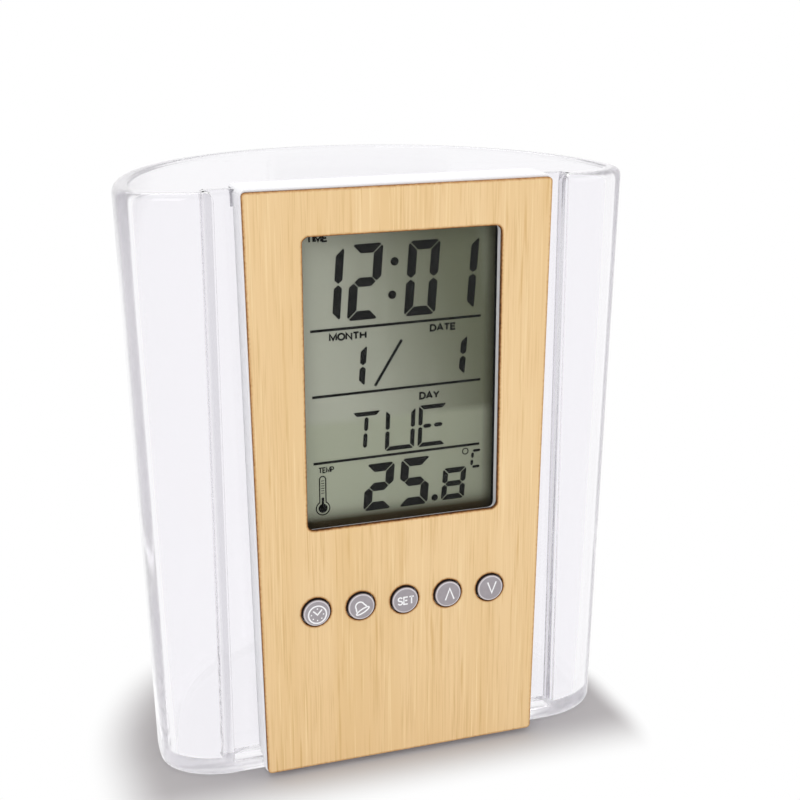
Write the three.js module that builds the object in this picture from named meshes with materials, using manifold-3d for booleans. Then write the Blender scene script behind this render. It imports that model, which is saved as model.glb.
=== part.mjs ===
// Pen holder clock: a clear moulded cup with a flat clock module hooked over its front wall.
// Millimetres, +Z up, +Y from the front to the back.
// The origin is on the table, under the middle of the footprint.

import * as THREE from 'three';
import { mergeVertices } from 'three/addons/utils/BufferGeometryUtils.js';
import Module from 'manifold-3d';

const wasm = await Module();
wasm.setup();

// Cup
const RIM_DROP = 0.2;
const RIM_HALF_WIDTH = 50.3;
const BASE_HALF_WIDTH = 47.2;
const RIM_CORNER_WIDTH = 15.7;
const BASE_CORNER_WIDTH = 13.5;
const CORNER_DEPTH = 10.1;
const RIM_BACK_DEPTH = 51.5;
const BASE_BACK_DEPTH = 49.3;
const CUP_WALL = 3.2;
const FLOOR_THICKNESS = 3;
const FLOOR_FILLET = 2;
const BASE_EDGE_RADIUS = 1.6;
const RIM_OUTER_RADIUS = 1.3;
const RIM_INNER_RADIUS = 0.6;
const RECESS_MARGIN = 4.2;
const RECESS_DEPTH = 3.2;
const RECESS_EDGE_RADIUS = 0.5;
const RECESS_FILLET = 0.4;
const RECESS_SIDE_WALL = 1.8;
const FRONT_WALL = 2.8;
const WALL_STEP_FILLET = 0.7;

// Bamboo face and clock case, seen from the front
const BAMBOO_TOP_WIDTH = 60;
const BAMBOO_BOTTOM_WIDTH = 56.5;
const BAMBOO_BOTTOM = 0.95;
const BAMBOO_THICKNESS = 0.8;
const BAMBOO_CORNER = 0.8;
const CASE_MARGIN = 0.25;
const CASE_TOP_MARGIN = 0.5;
const CASE_CORNER = 1.2;
const CASE_EDGE_RADIUS = 0.4;
const CASE_FRONT_WALL = 1.35;
const CASE_SIDE_WALL = 1.2;
const CASE_BACK_WALL = 0.9;
const CAVITY_CLEARANCE = 0.145;
const SKIRT_CLEARANCE = 0.3;
const HOOK_LIP = 0.8;
const HOOK_DROP = 3.5;
const HOOK_CLEARANCE = 0.12;
const MODULE_CLEARANCE = 0.2;
const GLUE_GAP = 0.05;
const BOSS_SINK = 0.4;
const SEAT_GAP = 0.05;

// Display window and display stack
const WINDOW_WIDTH = 39;
const WINDOW_HEIGHT = 56.7;
const WINDOW_CENTRE_X = 0.35;
const WINDOW_TOP_MARGIN = 8.55;
const WINDOW_DROP = 16.95;
const WINDOW_CORNER = 1.3;
const CASE_WINDOW_DROP = 0.5;
const GLASS_OVERLAP = 1.5;
const GLASS_THICKNESS = 0.55;
const CONTACT_LEDGE = 2.2;
const POLARIZER_THICKNESS = 0.2;
const IMAGE_THICKNESS = 0.08;
const IMAGE_RELIEF = 0.05;
const POLARIZER_INSET = 0.5;
const GLASS_RIB = 0.8;
const GLASS_CLEARANCE = 0.25;
const GLASS_RIB_DEPTH = 1.4;
const ZEBRA_WIDTH = 1.6;
const ZEBRA_INSET = 1.5;

// Circuit board
const BOARD_THICKNESS = 0.6;
const BOARD_CLEARANCE = 0.25;
const BOARD_CORNER = 1;
const BOARD_CELL_GAP = 1.2;
const BOARD_LOW_SCREW_X = 20;
const BOARD_HIGH_SCREW_X = 15;
const BOARD_BOSS_RADIUS = 1.1;
const BOARD_SCREW_RADIUS = 0.5;
const BOARD_HEAD_RADIUS = 1;
const BOARD_HEAD_HEIGHT = 0.3;
const BOARD_SCREW_LENGTH = 1.9;

// Keys
const KEY_NAMES = ['clock', 'alarm', 'set', 'up', 'down'];
const KEY_ROW_X = 0.33;
const KEY_CELL_GAP = 7.85;
const KEY_PITCH = 9.08;
const KEY_RADIUS = 2.75;
const KEY_PROUD = 0.6;
const KEY_EDGE_RADIUS = 0.4;
const KEY_CLEARANCE = 0.2;
const KEY_FLANGE_LIP = 0.75;
const KEY_FLANGE_THICKNESS = 0.4;
const KEY_STEM_RADIUS = 1.4;
const KEY_STEM_LENGTH = 0.2;
const MAT_THICKNESS = 0.4;
const MAT_DOME_HEIGHT = 0.25;
const MAT_MARGIN = 0.85;
const MAT_CORNER = 1;
const MAT_DOME_RADIUS = 2.4;
const MAT_DOME_TOP_RADIUS = 1.7;

// Battery and its cover
const CELL_X = 0;
const CELL_RADIUS = 10;
const CELL_THICKNESS = 2.5;
const CELL_CAP_INSET = 1.3;
const CELL_CAP_STEP = 0.25;
const COVER_OVERLAP = 1.4;
const COVER_CLEARANCE = 0.2;
const COVER_MARGIN = 0.5;
const COVER_SLOT_LENGTH = 13;
const COVER_SLOT_WIDTH = 1.6;
const COVER_SLOT_DEPTH = 0.45;
const LUG_LENGTH = 1.4;
const LUG_THICKNESS = 0.5;
const LUG_GAP = 0.1;
const LUG_HALF_ANGLE = 13;
const LUG_SPREAD = 180;
const NOTCH_CLEARANCE_ANGLE = 2;
const COVER_TURN = 45;
const CONTACT_THICKNESS = 0.15;
const CONTACT_WIDTH = 4;
const CONTACT_GAP = 0.05;
const CELL_RIB = 0.8;
const CELL_RIB_START = 112;
const CELL_RIB_END = 402;
const CLIP_START_ANGLE = 48;
const CLIP_END_ANGLE = 74;
const CLIP_TAB_X = 6;

// Back of the case
const CASE_SCREW_RADIUS = 0.7;
const CASE_SCREW_HEAD_RADIUS = 1.5;
const CASE_SCREW_HEAD_HEIGHT = 0.45;
const CASE_SCREW_LENGTH = 2.6;
const SCREW_SLOT_WIDTH = 0.4;
const SCREW_SLOT_SHARE = 0.7;
const CASE_BOSS_RADIUS = 1.9;
const SCREW_CLEARANCE = 0.08;

// Small parts on the board
const BUZZER_X = 10;
const BUZZER_RISE = 10.5;
const BUZZER_RADIUS = 7.5;
const BUZZER_THICKNESS = 0.15;
const CERAMIC_RADIUS = 5;
const CERAMIC_THICKNESS = 0.1;
const SOUND_HOLE_RADIUS = 0.7;
const SOUND_HOLE_SPREAD = 3;
const CHIP_X = -8;
const CHIP_RADIUS = 3.3;
const CHIP_HEIGHT = 1.1;
const CRYSTAL_X = 4.5;
const CRYSTAL_RADIUS = 0.75;
const CRYSTAL_LENGTH = 5;
const CAPACITOR_X = 11.5;
const CAPACITOR_PITCH = 2.6;
const CAPACITOR_SIZE = [2, 0.9, 1.2];
const THERMISTOR_X = -15;
const THERMISTOR_RADIUS = 0.7;

// How finely curves are divided, and how far a cutting shape runs past what it cuts
const ROUND_STEPS = 28;
const CORNER_STEPS = 6;
const EDGE_STEPS = 4;
const SMALL_STEPS = 12;
const HEAD_STEPS = 16;
const CAP_STEPS = 20;
const COVER_STEPS = 48;
const CLIP_STEPS = 96;
const CUT_OVERRUN = 1;

// Planes from the front to the back
const overallDepth = KEY_PROUD + RECESS_DEPTH + CORNER_DEPTH + RIM_BACK_DEPTH;
const faceY = -overallDepth / 2 + KEY_PROUD;
const cupFrontY = faceY + RECESS_DEPTH;
const widestY = cupFrontY + CORNER_DEPTH;
const bambooBackY = faceY + BAMBOO_THICKNESS;
const caseFrontY = bambooBackY + GLUE_GAP;
const caseInnerY = caseFrontY + CASE_FRONT_WALL;
const ribBackY = caseInnerY + GLASS_RIB_DEPTH;
const polarizerY = caseInnerY + SEAT_GAP;
const frontGlassY = polarizerY + POLARIZER_THICKNESS + SEAT_GAP;
const imageY = frontGlassY + GLASS_THICKNESS + IMAGE_RELIEF + SEAT_GAP;
const rearGlassY = imageY + IMAGE_THICKNESS + SEAT_GAP;
const reflectorY = rearGlassY + GLASS_THICKNESS + SEAT_GAP;
const boardY = reflectorY + POLARIZER_THICKNESS + SEAT_GAP;
const boardBackY = boardY + BOARD_THICKNESS;
const cellY = caseInnerY + CONTACT_GAP + CONTACT_THICKNESS + CONTACT_GAP;
const buzzerY = boardBackY + SEAT_GAP;
const ceramicY = buzzerY + BUZZER_THICKNESS + SEAT_GAP / 2;
const caseRearY = Math.max(cellY + CELL_THICKNESS, ceramicY + CERAMIC_THICKNESS) + CAVITY_CLEARANCE;
const coverFrontY = caseRearY + SEAT_GAP;
const caseBackY = coverFrontY + CASE_BACK_WALL;
const frontWallOuterY = caseBackY + MODULE_CLEARANCE;
const frontWallInnerY = frontWallOuterY + FRONT_WALL;
const hookLipY = frontWallInnerY + HOOK_CLEARANCE;
const hookBackY = hookLipY + HOOK_LIP;

// Widths that follow from other pieces
const recessHalfWidth = BAMBOO_TOP_WIDTH / 2 + RECESS_MARGIN;
const coverRadius = CELL_RADIUS + COVER_OVERLAP;

// Levels from the table up: battery, key row, window, bamboo's top and cup's rim
const caseBottom = BAMBOO_BOTTOM - CASE_MARGIN;
const caseFloor = FLOOR_THICKNESS + SKIRT_CLEARANCE;
const cavityBottom = caseFloor + CASE_SIDE_WALL;
const cellZ = cavityBottom + COVER_MARGIN + COVER_CLEARANCE + coverRadius;
const keyRowZ = cellZ + CELL_RADIUS + KEY_CELL_GAP;
const windowBottom = keyRowZ + WINDOW_DROP;
const windowMiddle = windowBottom + WINDOW_HEIGHT / 2;
const bambooTop = windowBottom + WINDOW_HEIGHT + WINDOW_TOP_MARGIN;
const bambooHeight = bambooTop - BAMBOO_BOTTOM;
const caseTop = bambooTop + CASE_TOP_MARGIN;
const cupHeight = bambooTop - RIM_DROP;
const hookBottom = cupHeight + HOOK_CLEARANCE;
const coverTop = hookBottom - SEAT_GAP;
const cavityTop = coverTop - CASE_SIDE_WALL;

// Display glass
const glassWidth = WINDOW_WIDTH + 2 * GLASS_OVERLAP;
const rearGlassHeight = WINDOW_HEIGHT + 2 * GLASS_OVERLAP;
const frontGlassHeight = rearGlassHeight + 2 * CONTACT_LEDGE;
const ribWidth = glassWidth + 2 * GLASS_CLEARANCE + 2 * GLASS_RIB;
const ribHeight = frontGlassHeight + 2 * GLASS_CLEARANCE + 2 * GLASS_RIB;
const ribBottom = windowMiddle - ribHeight / 2;
const ribTop = windowMiddle + ribHeight / 2;

// Circuit board
const boardBottom = cellZ + CELL_RADIUS + BOARD_CELL_GAP;
const boardTop = cavityTop - BOARD_CLEARANCE;
const matHalfHeight = KEY_RADIUS + MAT_MARGIN;
const matTop = keyRowZ + matHalfHeight;
const matBottom = keyRowZ - matHalfHeight;
const boardPartsZ = (matTop + ribBottom) / 2;
const buzzerZ = windowMiddle + BUZZER_RISE;

function mix(a, b, t) {
  return a + (b - a) * t;
}

function toSolid(geometry) {
  const bare = geometry.clone();
  bare.deleteAttribute('normal');
  bare.deleteAttribute('uv');
  const merged = mergeVertices(bare, 1e-5);
  const vertProperties = new Float32Array(merged.attributes.position.array);
  const triVerts = new Uint32Array(merged.index.array);
  return new wasm.Manifold(new wasm.Mesh({ numProp: 3, vertProperties, triVerts }));
}

function toGeometry(solid) {
  const mesh = solid.getMesh();
  const geometry = new THREE.BufferGeometry();
  geometry.setAttribute('position', new THREE.BufferAttribute(mesh.vertProperties, 3));
  geometry.setIndex(new THREE.BufferAttribute(mesh.triVerts, 1));
  geometry.computeVertexNormals();
  return geometry;
}

function box(x0, x1, y0, y1, z0, z1) {
  const geometry = new THREE.BoxGeometry(x1 - x0, y1 - y0, z1 - z0);
  return geometry.translate((x0 + x1) / 2, (y0 + y1) / 2, (z0 + z1) / 2);
}

// A disc or pin whose axis runs front to back
function disc(radius, x, z, y0, y1, steps = ROUND_STEPS) {
  const geometry = new THREE.CylinderGeometry(radius, radius, y1 - y0, steps);
  return geometry.translate(x, (y0 + y1) / 2, z);
}

// An outline in the front view, given thickness from y0 back to y1
function slab(shape, y0, y1, steps = CORNER_STEPS) {
  const geometry = new THREE.ExtrudeGeometry(shape, {
    depth: y1 - y0, bevelEnabled: false, curveSegments: steps,
  });
  return geometry.rotateX(Math.PI / 2).translate(0, y1, 0);
}

// The same with its front and back edges rounded
function roundedSlab(shape, y0, y1, radius) {
  const geometry = new THREE.ExtrudeGeometry(shape, {
    depth: y1 - y0 - 2 * radius,
    curveSegments: CORNER_STEPS,
    bevelSize: radius,
    bevelThickness: radius,
    bevelOffset: -radius,
    bevelSegments: EDGE_STEPS,
  });
  return geometry.rotateX(Math.PI / 2).translate(0, y1 - radius, 0);
}

// An outline in the plan view, raised from z0 to z1
function column(shape, z0, z1) {
  const geometry = new THREE.ExtrudeGeometry(shape, {
    depth: z1 - z0, bevelEnabled: false, curveSegments: CORNER_STEPS,
  });
  return geometry.translate(0, 0, z0);
}

// A closed polygon with every corner rounded by the same radius
function roundedPolygon(corners, radius) {
  if (radius === 0) {
    return new THREE.Shape(corners);
  }
  const shape = new THREE.Shape();
  corners.forEach((corner, i) => {
    const before = corners[(i + corners.length - 1) % corners.length];
    const after = corners[(i + 1) % corners.length];
    const enter = corner.clone().sub(before).setLength(radius);
    const leave = after.clone().sub(corner).setLength(radius);
    const start = corner.clone().sub(enter);
    const end = corner.clone().add(leave);
    if (i === 0) {
      shape.moveTo(start.x, start.y);
    } else {
      shape.lineTo(start.x, start.y);
    }
    shape.quadraticCurveTo(corner.x, corner.y, end.x, end.y);
  });
  shape.closePath();
  return shape;
}

function rectangle(x, z, width, height, radius) {
  const w = width / 2;
  const h = height / 2;
  return roundedPolygon([
    new THREE.Vector2(x - w, z - h),
    new THREE.Vector2(x + w, z - h),
    new THREE.Vector2(x + w, z + h),
    new THREE.Vector2(x - w, z + h),
  ], radius);
}

// Half the width of the tapered module at a level, at a distance outside the bamboo's edge
function moduleHalfWidth(z, margin) {
  const t = (z - BAMBOO_BOTTOM) / bambooHeight;
  return mix(BAMBOO_BOTTOM_WIDTH, BAMBOO_TOP_WIDTH, t) / 2 + margin;
}

// The module's tapered front outline between two levels
function moduleOutline(z0, z1, margin, radius) {
  return roundedPolygon([
    new THREE.Vector2(-moduleHalfWidth(z0, margin), z0),
    new THREE.Vector2(moduleHalfWidth(z0, margin), z0),
    new THREE.Vector2(moduleHalfWidth(z1, margin), z1),
    new THREE.Vector2(-moduleHalfWidth(z1, margin), z1),
  ], radius);
}

// One level of the cup: flat front, quarter-ellipse front corners, half-ellipse back.
// The inset draws every side in by the same distance.
function cupLevel(z, inset) {
  const t = z / cupHeight;
  const halfWidth = mix(BASE_HALF_WIDTH, RIM_HALF_WIDTH, t) - inset;
  const back = mix(BASE_BACK_DEPTH, RIM_BACK_DEPTH, t) - inset;
  const cornerX = mix(BASE_CORNER_WIDTH, RIM_CORNER_WIDTH, t) - inset;
  const cornerY = CORNER_DEPTH - inset;
  const points = [];
  for (let i = 0; i <= 2 * ROUND_STEPS; i += 1) {
    const angle = (Math.PI * i) / (2 * ROUND_STEPS);
    points.push([halfWidth * Math.cos(angle), widestY + back * Math.sin(angle)]);
  }
  for (let i = 1; i <= CORNER_STEPS; i += 1) {
    const angle = (Math.PI / 2 / CORNER_STEPS) * i;
    const x = halfWidth - cornerX + cornerX * Math.cos(angle);
    points.push([-x, widestY - cornerY * Math.sin(angle)]);
  }
  for (let i = CORNER_STEPS; i >= 1; i -= 1) {
    const angle = (Math.PI / 2 / CORNER_STEPS) * i;
    const x = halfWidth - cornerX + cornerX * Math.cos(angle);
    points.push([x, widestY - cornerY * Math.sin(angle)]);
  }
  return points.map(([x, y]) => [x, y, z]);
}

// A closed skin through a stack of levels that have the same number of points
function stackLevels(levels) {
  const count = levels[0].length;
  const positions = levels.flat(2);
  const index = [];
  for (let k = 0; k + 1 < levels.length; k += 1) {
    for (let i = 0; i < count; i += 1) {
      const a = k * count + i;
      const b = k * count + ((i + 1) % count);
      index.push(a, b, b + count, a, b + count, a + count);
    }
  }
  const outline = levels[0].map(([x, y]) => new THREE.Vector2(x, y));
  const top = (levels.length - 1) * count;
  THREE.ShapeUtils.triangulateShape(outline, []).forEach(([a, b, c]) => {
    index.push(a, c, b, top + a, top + b, top + c);
  });
  const geometry = new THREE.BufferGeometry();
  geometry.setAttribute('position', new THREE.Float32BufferAttribute(positions, 3));
  geometry.setIndex(index);
  return geometry;
}

// Levels that round an edge: the arc starts flat at z and ends upright at the inset.
// Up is the way from the flat to the upright, and inwards is the side that the flat lies on.
function roundedEdge(z, radius, inset, up, inwards) {
  const levels = [];
  for (let i = 0; i <= EDGE_STEPS; i += 1) {
    const angle = (Math.PI / 2 / EDGE_STEPS) * i;
    const rise = radius * (1 - Math.cos(angle));
    const draw = radius * (1 - Math.sin(angle));
    levels.push(cupLevel(z + up * rise, inset + inwards * draw));
  }
  return levels;
}

// The plan of the recess or of the front wall's back: a box from the cup's front to y
function frontBox(halfWidth, y, fillet, flare) {
  const outside = cupFrontY - CUP_WALL;
  const shape = new THREE.Shape();
  shape.moveTo(-halfWidth - flare, outside);
  shape.lineTo(halfWidth + flare, outside);
  if (flare > 0) {
    shape.lineTo(halfWidth + flare, cupFrontY);
    shape.absarc(halfWidth + flare, cupFrontY + flare, flare, -Math.PI / 2, -Math.PI, true);
  }
  shape.lineTo(halfWidth, y - fillet);
  shape.absarc(halfWidth - fillet, y - fillet, fillet, 0, Math.PI / 2, false);
  shape.lineTo(-halfWidth + fillet, y);
  shape.absarc(-halfWidth + fillet, y - fillet, fillet, Math.PI / 2, Math.PI, false);
  if (flare > 0) {
    shape.lineTo(-halfWidth, cupFrontY + flare);
    shape.absarc(-halfWidth - flare, cupFrontY + flare, flare, 0, -Math.PI / 2, true);
  }
  shape.closePath();
  return shape;
}

function makeCup() {
  const above = cupHeight + CUP_WALL;
  const outer = stackLevels([
    ...roundedEdge(0, BASE_EDGE_RADIUS, 0, 1, 1),
    ...roundedEdge(cupHeight, RIM_OUTER_RADIUS, 0, -1, 1).reverse(),
  ]);
  const inner = stackLevels([
    ...roundedEdge(FLOOR_THICKNESS, FLOOR_FILLET, CUP_WALL, 1, 1),
    ...roundedEdge(cupHeight, RIM_INNER_RADIUS, CUP_WALL, -1, -1).reverse(),
    cupLevel(above, CUP_WALL - RIM_INNER_RADIUS),
  ]);
  const stepHalfWidth = recessHalfWidth + RECESS_SIDE_WALL;
  const wallBlock = column(frontBox(stepHalfWidth, frontWallInnerY, WALL_STEP_FILLET, 0), 0, above);
  const recess = frontBox(recessHalfWidth, frontWallOuterY, RECESS_FILLET, RECESS_EDGE_RADIUS);
  const well = toSolid(inner).subtract(toSolid(wallBlock));
  return toSolid(outer).subtract(well).subtract(toSolid(column(recess, FLOOR_THICKNESS, above)));
}

function keyX(index) {
  return KEY_ROW_X + (index - (KEY_NAMES.length - 1) / 2) * KEY_PITCH;
}

// The window's opening from y0 to y1, its lower edge dropped by a distance
function windowSlab(y0, y1, drop) {
  const middle = windowMiddle - drop / 2;
  const shape = rectangle(WINDOW_CENTRE_X, middle, WINDOW_WIDTH, WINDOW_HEIGHT + drop, WINDOW_CORNER);
  return toSolid(slab(shape, y0, y1));
}

function cutKeyHoles(solid, radius, y0, y1) {
  return KEY_NAMES.reduce(
    (rest, name, i) => rest.subtract(toSolid(disc(radius, keyX(i), keyRowZ, y0, y1))),
    solid,
  );
}

function makeBamboo() {
  const front = faceY - CUT_OVERRUN;
  const back = bambooBackY + CUT_OVERRUN;
  const outline = moduleOutline(BAMBOO_BOTTOM, bambooTop, 0, BAMBOO_CORNER);
  const opened = toSolid(slab(outline, faceY, bambooBackY)).subtract(windowSlab(front, back, 0));
  return cutKeyHoles(opened, KEY_RADIUS + KEY_CLEARANCE, front, back);
}

// The four case screws, near the corners of the case's cavity
function caseScrewPlaces() {
  const inset = CASE_SIDE_WALL + CASE_BOSS_RADIUS - BOSS_SINK;
  return [caseFloor + inset, coverTop - inset].flatMap((z) => {
    const x = moduleHalfWidth(z, CASE_MARGIN) - inset;
    return [[-x, z], [x, z]];
  });
}

// The two screws low on the board and the two above the display glass
function boardScrewPlaces() {
  const low = ribBottom - BOARD_BOSS_RADIUS + BOSS_SINK;
  const high = ribTop + BOARD_BOSS_RADIUS - BOSS_SINK;
  return [
    [-BOARD_LOW_SCREW_X, low], [BOARD_LOW_SCREW_X, low],
    [-BOARD_HIGH_SCREW_X, high], [BOARD_HIGH_SCREW_X, high],
  ];
}

// The case's outline run back over the front wall's rim, less the slot that the wall fills
function makeHookedShell() {
  const far = RIM_HALF_WIDTH;
  const outline = moduleOutline(caseBottom, caseTop, CASE_MARGIN, CASE_CORNER);
  const low = -CUT_OVERRUN;
  const lipEnd = cupHeight - HOOK_DROP;
  const block = toSolid(roundedSlab(outline, caseFrontY, hookBackY, CASE_EDGE_RADIUS));
  const slot = toSolid(box(-far, far, caseRearY, hookLipY, low, hookBottom));
  const underLip = toSolid(box(-far, far, caseRearY, hookBackY + CUT_OVERRUN, low, lipEnd));
  const underFloor = toSolid(box(-far, far, cupFrontY - SKIRT_CLEARANCE, hookBackY, low, caseFloor));
  return block.subtract(slot).subtract(underLip).subtract(underFloor);
}

function makeGlassRib() {
  const inner = rectangle(
    WINDOW_CENTRE_X, windowMiddle, ribWidth - 2 * GLASS_RIB, ribHeight - 2 * GLASS_RIB, 0,
  );
  const outer = rectangle(WINDOW_CENTRE_X, windowMiddle, ribWidth, ribHeight, 0);
  return toSolid(slab(outer, caseInnerY - GLUE_GAP, ribBackY))
    .subtract(toSolid(slab(inner, caseInnerY - CUT_OVERRUN, ribBackY + CUT_OVERRUN)));
}

function makeCellRib() {
  const inner = CELL_RADIUS + COVER_CLEARANCE;
  const ring = sector(inner, inner + CELL_RIB, CELL_RIB_START, CELL_RIB_END);
  return toSolid(slab(ring, caseInnerY - GLUE_GAP, ribBackY, ROUND_STEPS));
}

function makeCaseFront() {
  const draw = CASE_MARGIN - CASE_SIDE_WALL;
  const cavityOutline = moduleOutline(cavityBottom, cavityTop, draw, CASE_CORNER);
  const cavity = toSolid(slab(cavityOutline, caseInnerY, caseBackY));
  let body = makeHookedShell().subtract(cavity).add(makeGlassRib()).add(makeCellRib());
  caseScrewPlaces().forEach(([x, z]) => {
    body = body.add(toSolid(disc(CASE_BOSS_RADIUS, x, z, caseInnerY - GLUE_GAP, caseRearY)));
  });
  boardScrewPlaces().forEach(([x, z]) => {
    body = body.add(toSolid(disc(BOARD_BOSS_RADIUS, x, z, caseInnerY - GLUE_GAP, boardY - SEAT_GAP)));
  });
  const caseBore = CASE_SCREW_RADIUS + SCREW_CLEARANCE;
  caseScrewPlaces().forEach(([x, z]) => {
    body = body.subtract(toSolid(disc(caseBore, x, z, caseInnerY, caseBackY)));
  });
  const boardBore = BOARD_SCREW_RADIUS + SCREW_CLEARANCE;
  boardScrewPlaces().forEach(([x, z]) => {
    body = body.subtract(toSolid(disc(boardBore, x, z, caseInnerY, caseBackY)));
  });
  const front = caseFrontY - CUT_OVERRUN;
  const back = caseInnerY + CUT_OVERRUN / 2;
  const opened = body.subtract(windowSlab(front, back, CASE_WINDOW_DROP));
  return cutKeyHoles(opened, KEY_RADIUS + KEY_CLEARANCE / 2, front, back);
}

// A ring sector around the battery's axis, in the front view
function sector(inner, outer, startDegrees, endDegrees) {
  const start = THREE.MathUtils.degToRad(startDegrees);
  const end = THREE.MathUtils.degToRad(endDegrees);
  const shape = new THREE.Shape();
  shape.absarc(CELL_X, cellZ, outer, start, end, false);
  shape.absarc(CELL_X, cellZ, inner, end, start, true);
  shape.closePath();
  return shape;
}

function makeCaseBack() {
  const outline = moduleOutline(caseFloor, coverTop, CASE_MARGIN, CASE_CORNER);
  let plate = toSolid(slab(outline, coverFrontY, caseBackY));
  const front = coverFrontY - CUT_OVERRUN;
  const back = caseBackY + CUT_OVERRUN;
  const opening = disc(coverRadius + COVER_CLEARANCE, CELL_X, cellZ, front, back, COVER_STEPS);
  plate = plate.subtract(toSolid(opening));
  const notchOuter = coverRadius + LUG_LENGTH + COVER_CLEARANCE;
  const notchHalf = LUG_HALF_ANGLE + NOTCH_CLEARANCE_ANGLE;
  [COVER_TURN, COVER_TURN + LUG_SPREAD].forEach((middle) => {
    const notch = sector(CELL_RADIUS, notchOuter, middle - notchHalf, middle + notchHalf);
    plate = plate.subtract(toSolid(slab(notch, front, back)));
  });
  const headFloor = caseBackY - CASE_SCREW_HEAD_HEIGHT - SCREW_CLEARANCE;
  const bore = CASE_SCREW_RADIUS + SCREW_CLEARANCE;
  const headBore = CASE_SCREW_HEAD_RADIUS + SCREW_CLEARANCE;
  caseScrewPlaces().forEach(([x, z]) => {
    plate = plate.subtract(toSolid(disc(bore, x, z, front, back)));
    plate = plate.subtract(toSolid(disc(headBore, x, z, headFloor, back)));
  });
  [[0, 0], [1, 0], [-1, 0], [0, 1], [0, -1]].forEach(([right, up]) => {
    const x = BUZZER_X + right * SOUND_HOLE_SPREAD;
    const z = buzzerZ + up * SOUND_HOLE_SPREAD;
    plate = plate.subtract(toSolid(disc(SOUND_HOLE_RADIUS, x, z, front, back, SMALL_STEPS)));
  });
  return plate;
}

// A twist cover: disc, coin slot, and two lugs behind the case back at rest
function makeBatteryCover() {
  let cover = toSolid(disc(coverRadius, CELL_X, cellZ, coverFrontY, caseBackY, COVER_STEPS));
  const lugBack = coverFrontY - LUG_GAP;
  const lugFront = lugBack - LUG_THICKNESS;
  const root = CELL_RADIUS + COVER_CLEARANCE + CONTACT_THICKNESS + COVER_CLEARANCE;
  [0, LUG_SPREAD].forEach((middle) => {
    const from = middle - LUG_HALF_ANGLE;
    const to = middle + LUG_HALF_ANGLE;
    const neck = sector(root, coverRadius, from, to);
    const lug = sector(root, coverRadius + LUG_LENGTH, from, to);
    cover = cover.add(toSolid(slab(neck, lugFront, coverFrontY + GLUE_GAP)));
    cover = cover.add(toSolid(slab(lug, lugFront, lugBack)));
  });
  const half = COVER_SLOT_LENGTH / 2;
  const slotFloor = caseBackY - COVER_SLOT_DEPTH;
  const slot = box(
    CELL_X - half, CELL_X + half, slotFloor, caseBackY + CUT_OVERRUN,
    cellZ - COVER_SLOT_WIDTH / 2, cellZ + COVER_SLOT_WIDTH / 2,
  );
  return cover.subtract(toSolid(slot));
}

// A turned piece whose axis runs front to back; the profile is [radius, distance behind y]
function turned(profile, x, y, z, steps = ROUND_STEPS) {
  const points = profile.map(([radius, depth]) => new THREE.Vector2(radius, depth));
  return toSolid(new THREE.LatheGeometry(points, steps).translate(x, y, z));
}

function makeKey(index) {
  const flangeFront = caseInnerY + GLASS_CLEARANCE / 2 - faceY + KEY_PROUD;
  const flangeBack = flangeFront + KEY_FLANGE_THICKNESS;
  const edge = KEY_EDGE_RADIUS;
  const rounding = [0, 30, 60, 90].map((degrees) => {
    const angle = THREE.MathUtils.degToRad(degrees);
    return [KEY_RADIUS - edge + edge * Math.sin(angle), edge - edge * Math.cos(angle)];
  });
  const profile = [
    [0, 0],
    ...rounding,
    [KEY_RADIUS, flangeFront],
    [KEY_RADIUS + KEY_FLANGE_LIP, flangeFront],
    [KEY_RADIUS + KEY_FLANGE_LIP, flangeBack],
    [KEY_STEM_RADIUS, flangeBack],
    [KEY_STEM_RADIUS, flangeBack + KEY_STEM_LENGTH],
    [0, flangeBack + KEY_STEM_LENGTH],
  ];
  return turned(profile, keyX(index), faceY - KEY_PROUD, keyRowZ);
}

function makeKeyMat() {
  const width = (KEY_NAMES.length - 1) * KEY_PITCH + 2 * matHalfHeight;
  const matBack = boardY - SEAT_GAP;
  const matFront = matBack - MAT_THICKNESS;
  const sheet = rectangle(KEY_ROW_X, keyRowZ, width, 2 * matHalfHeight, MAT_CORNER);
  let mat = toSolid(slab(sheet, matFront, matBack));
  KEY_NAMES.forEach((name, i) => {
    const dome = new THREE.CylinderGeometry(
      MAT_DOME_RADIUS, MAT_DOME_TOP_RADIUS, MAT_DOME_HEIGHT + GLUE_GAP, ROUND_STEPS,
    );
    const middle = matFront - (MAT_DOME_HEIGHT - GLUE_GAP) / 2;
    mat = mat.add(toSolid(dome.translate(keyX(i), middle, keyRowZ)));
  });
  return mat;
}

// Strokes of the display: each bar is drawn from the digit's outer edge inwards
function digitBars(name, width, height, bar, gap) {
  const mid = height / 2;
  const half = bar / 2;
  const upper = [
    [0, height - gap], [bar, height - bar - gap], [bar, mid + half],
    [half, mid + gap], [0, mid + half],
  ];
  const lower = upper.map(([x, z]) => [x, height - z]);
  const across = (points) => points.map(([x, z]) => [width - x, z]);
  const bars = {
    a: [
      [gap, height], [width - gap, height],
      [width - bar - gap, height - bar], [bar + gap, height - bar],
    ],
    b: across(upper),
    c: across(lower),
    d: [[gap, 0], [width - gap, 0], [width - bar - gap, bar], [bar + gap, bar]],
    e: lower,
    f: upper,
    g: [
      [half + gap, mid], [bar + gap, mid + half], [width - bar - gap, mid + half],
      [width - half - gap, mid], [width - bar - gap, mid - half], [bar + gap, mid - half],
    ],
  };
  return bars[name];
}

const DIGIT_BARS = { 0: 'abcdef', 1: 'bc', 2: 'abdeg', 5: 'acdfg', 8: 'abcdefg' };
const DIGIT_SLANT = 0.067;
const BAR_GAP = 0.12;

// Places on the display are in hundredths of the window's width and height,
// and the widths of bars, strokes and dots are in millimetres.

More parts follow.
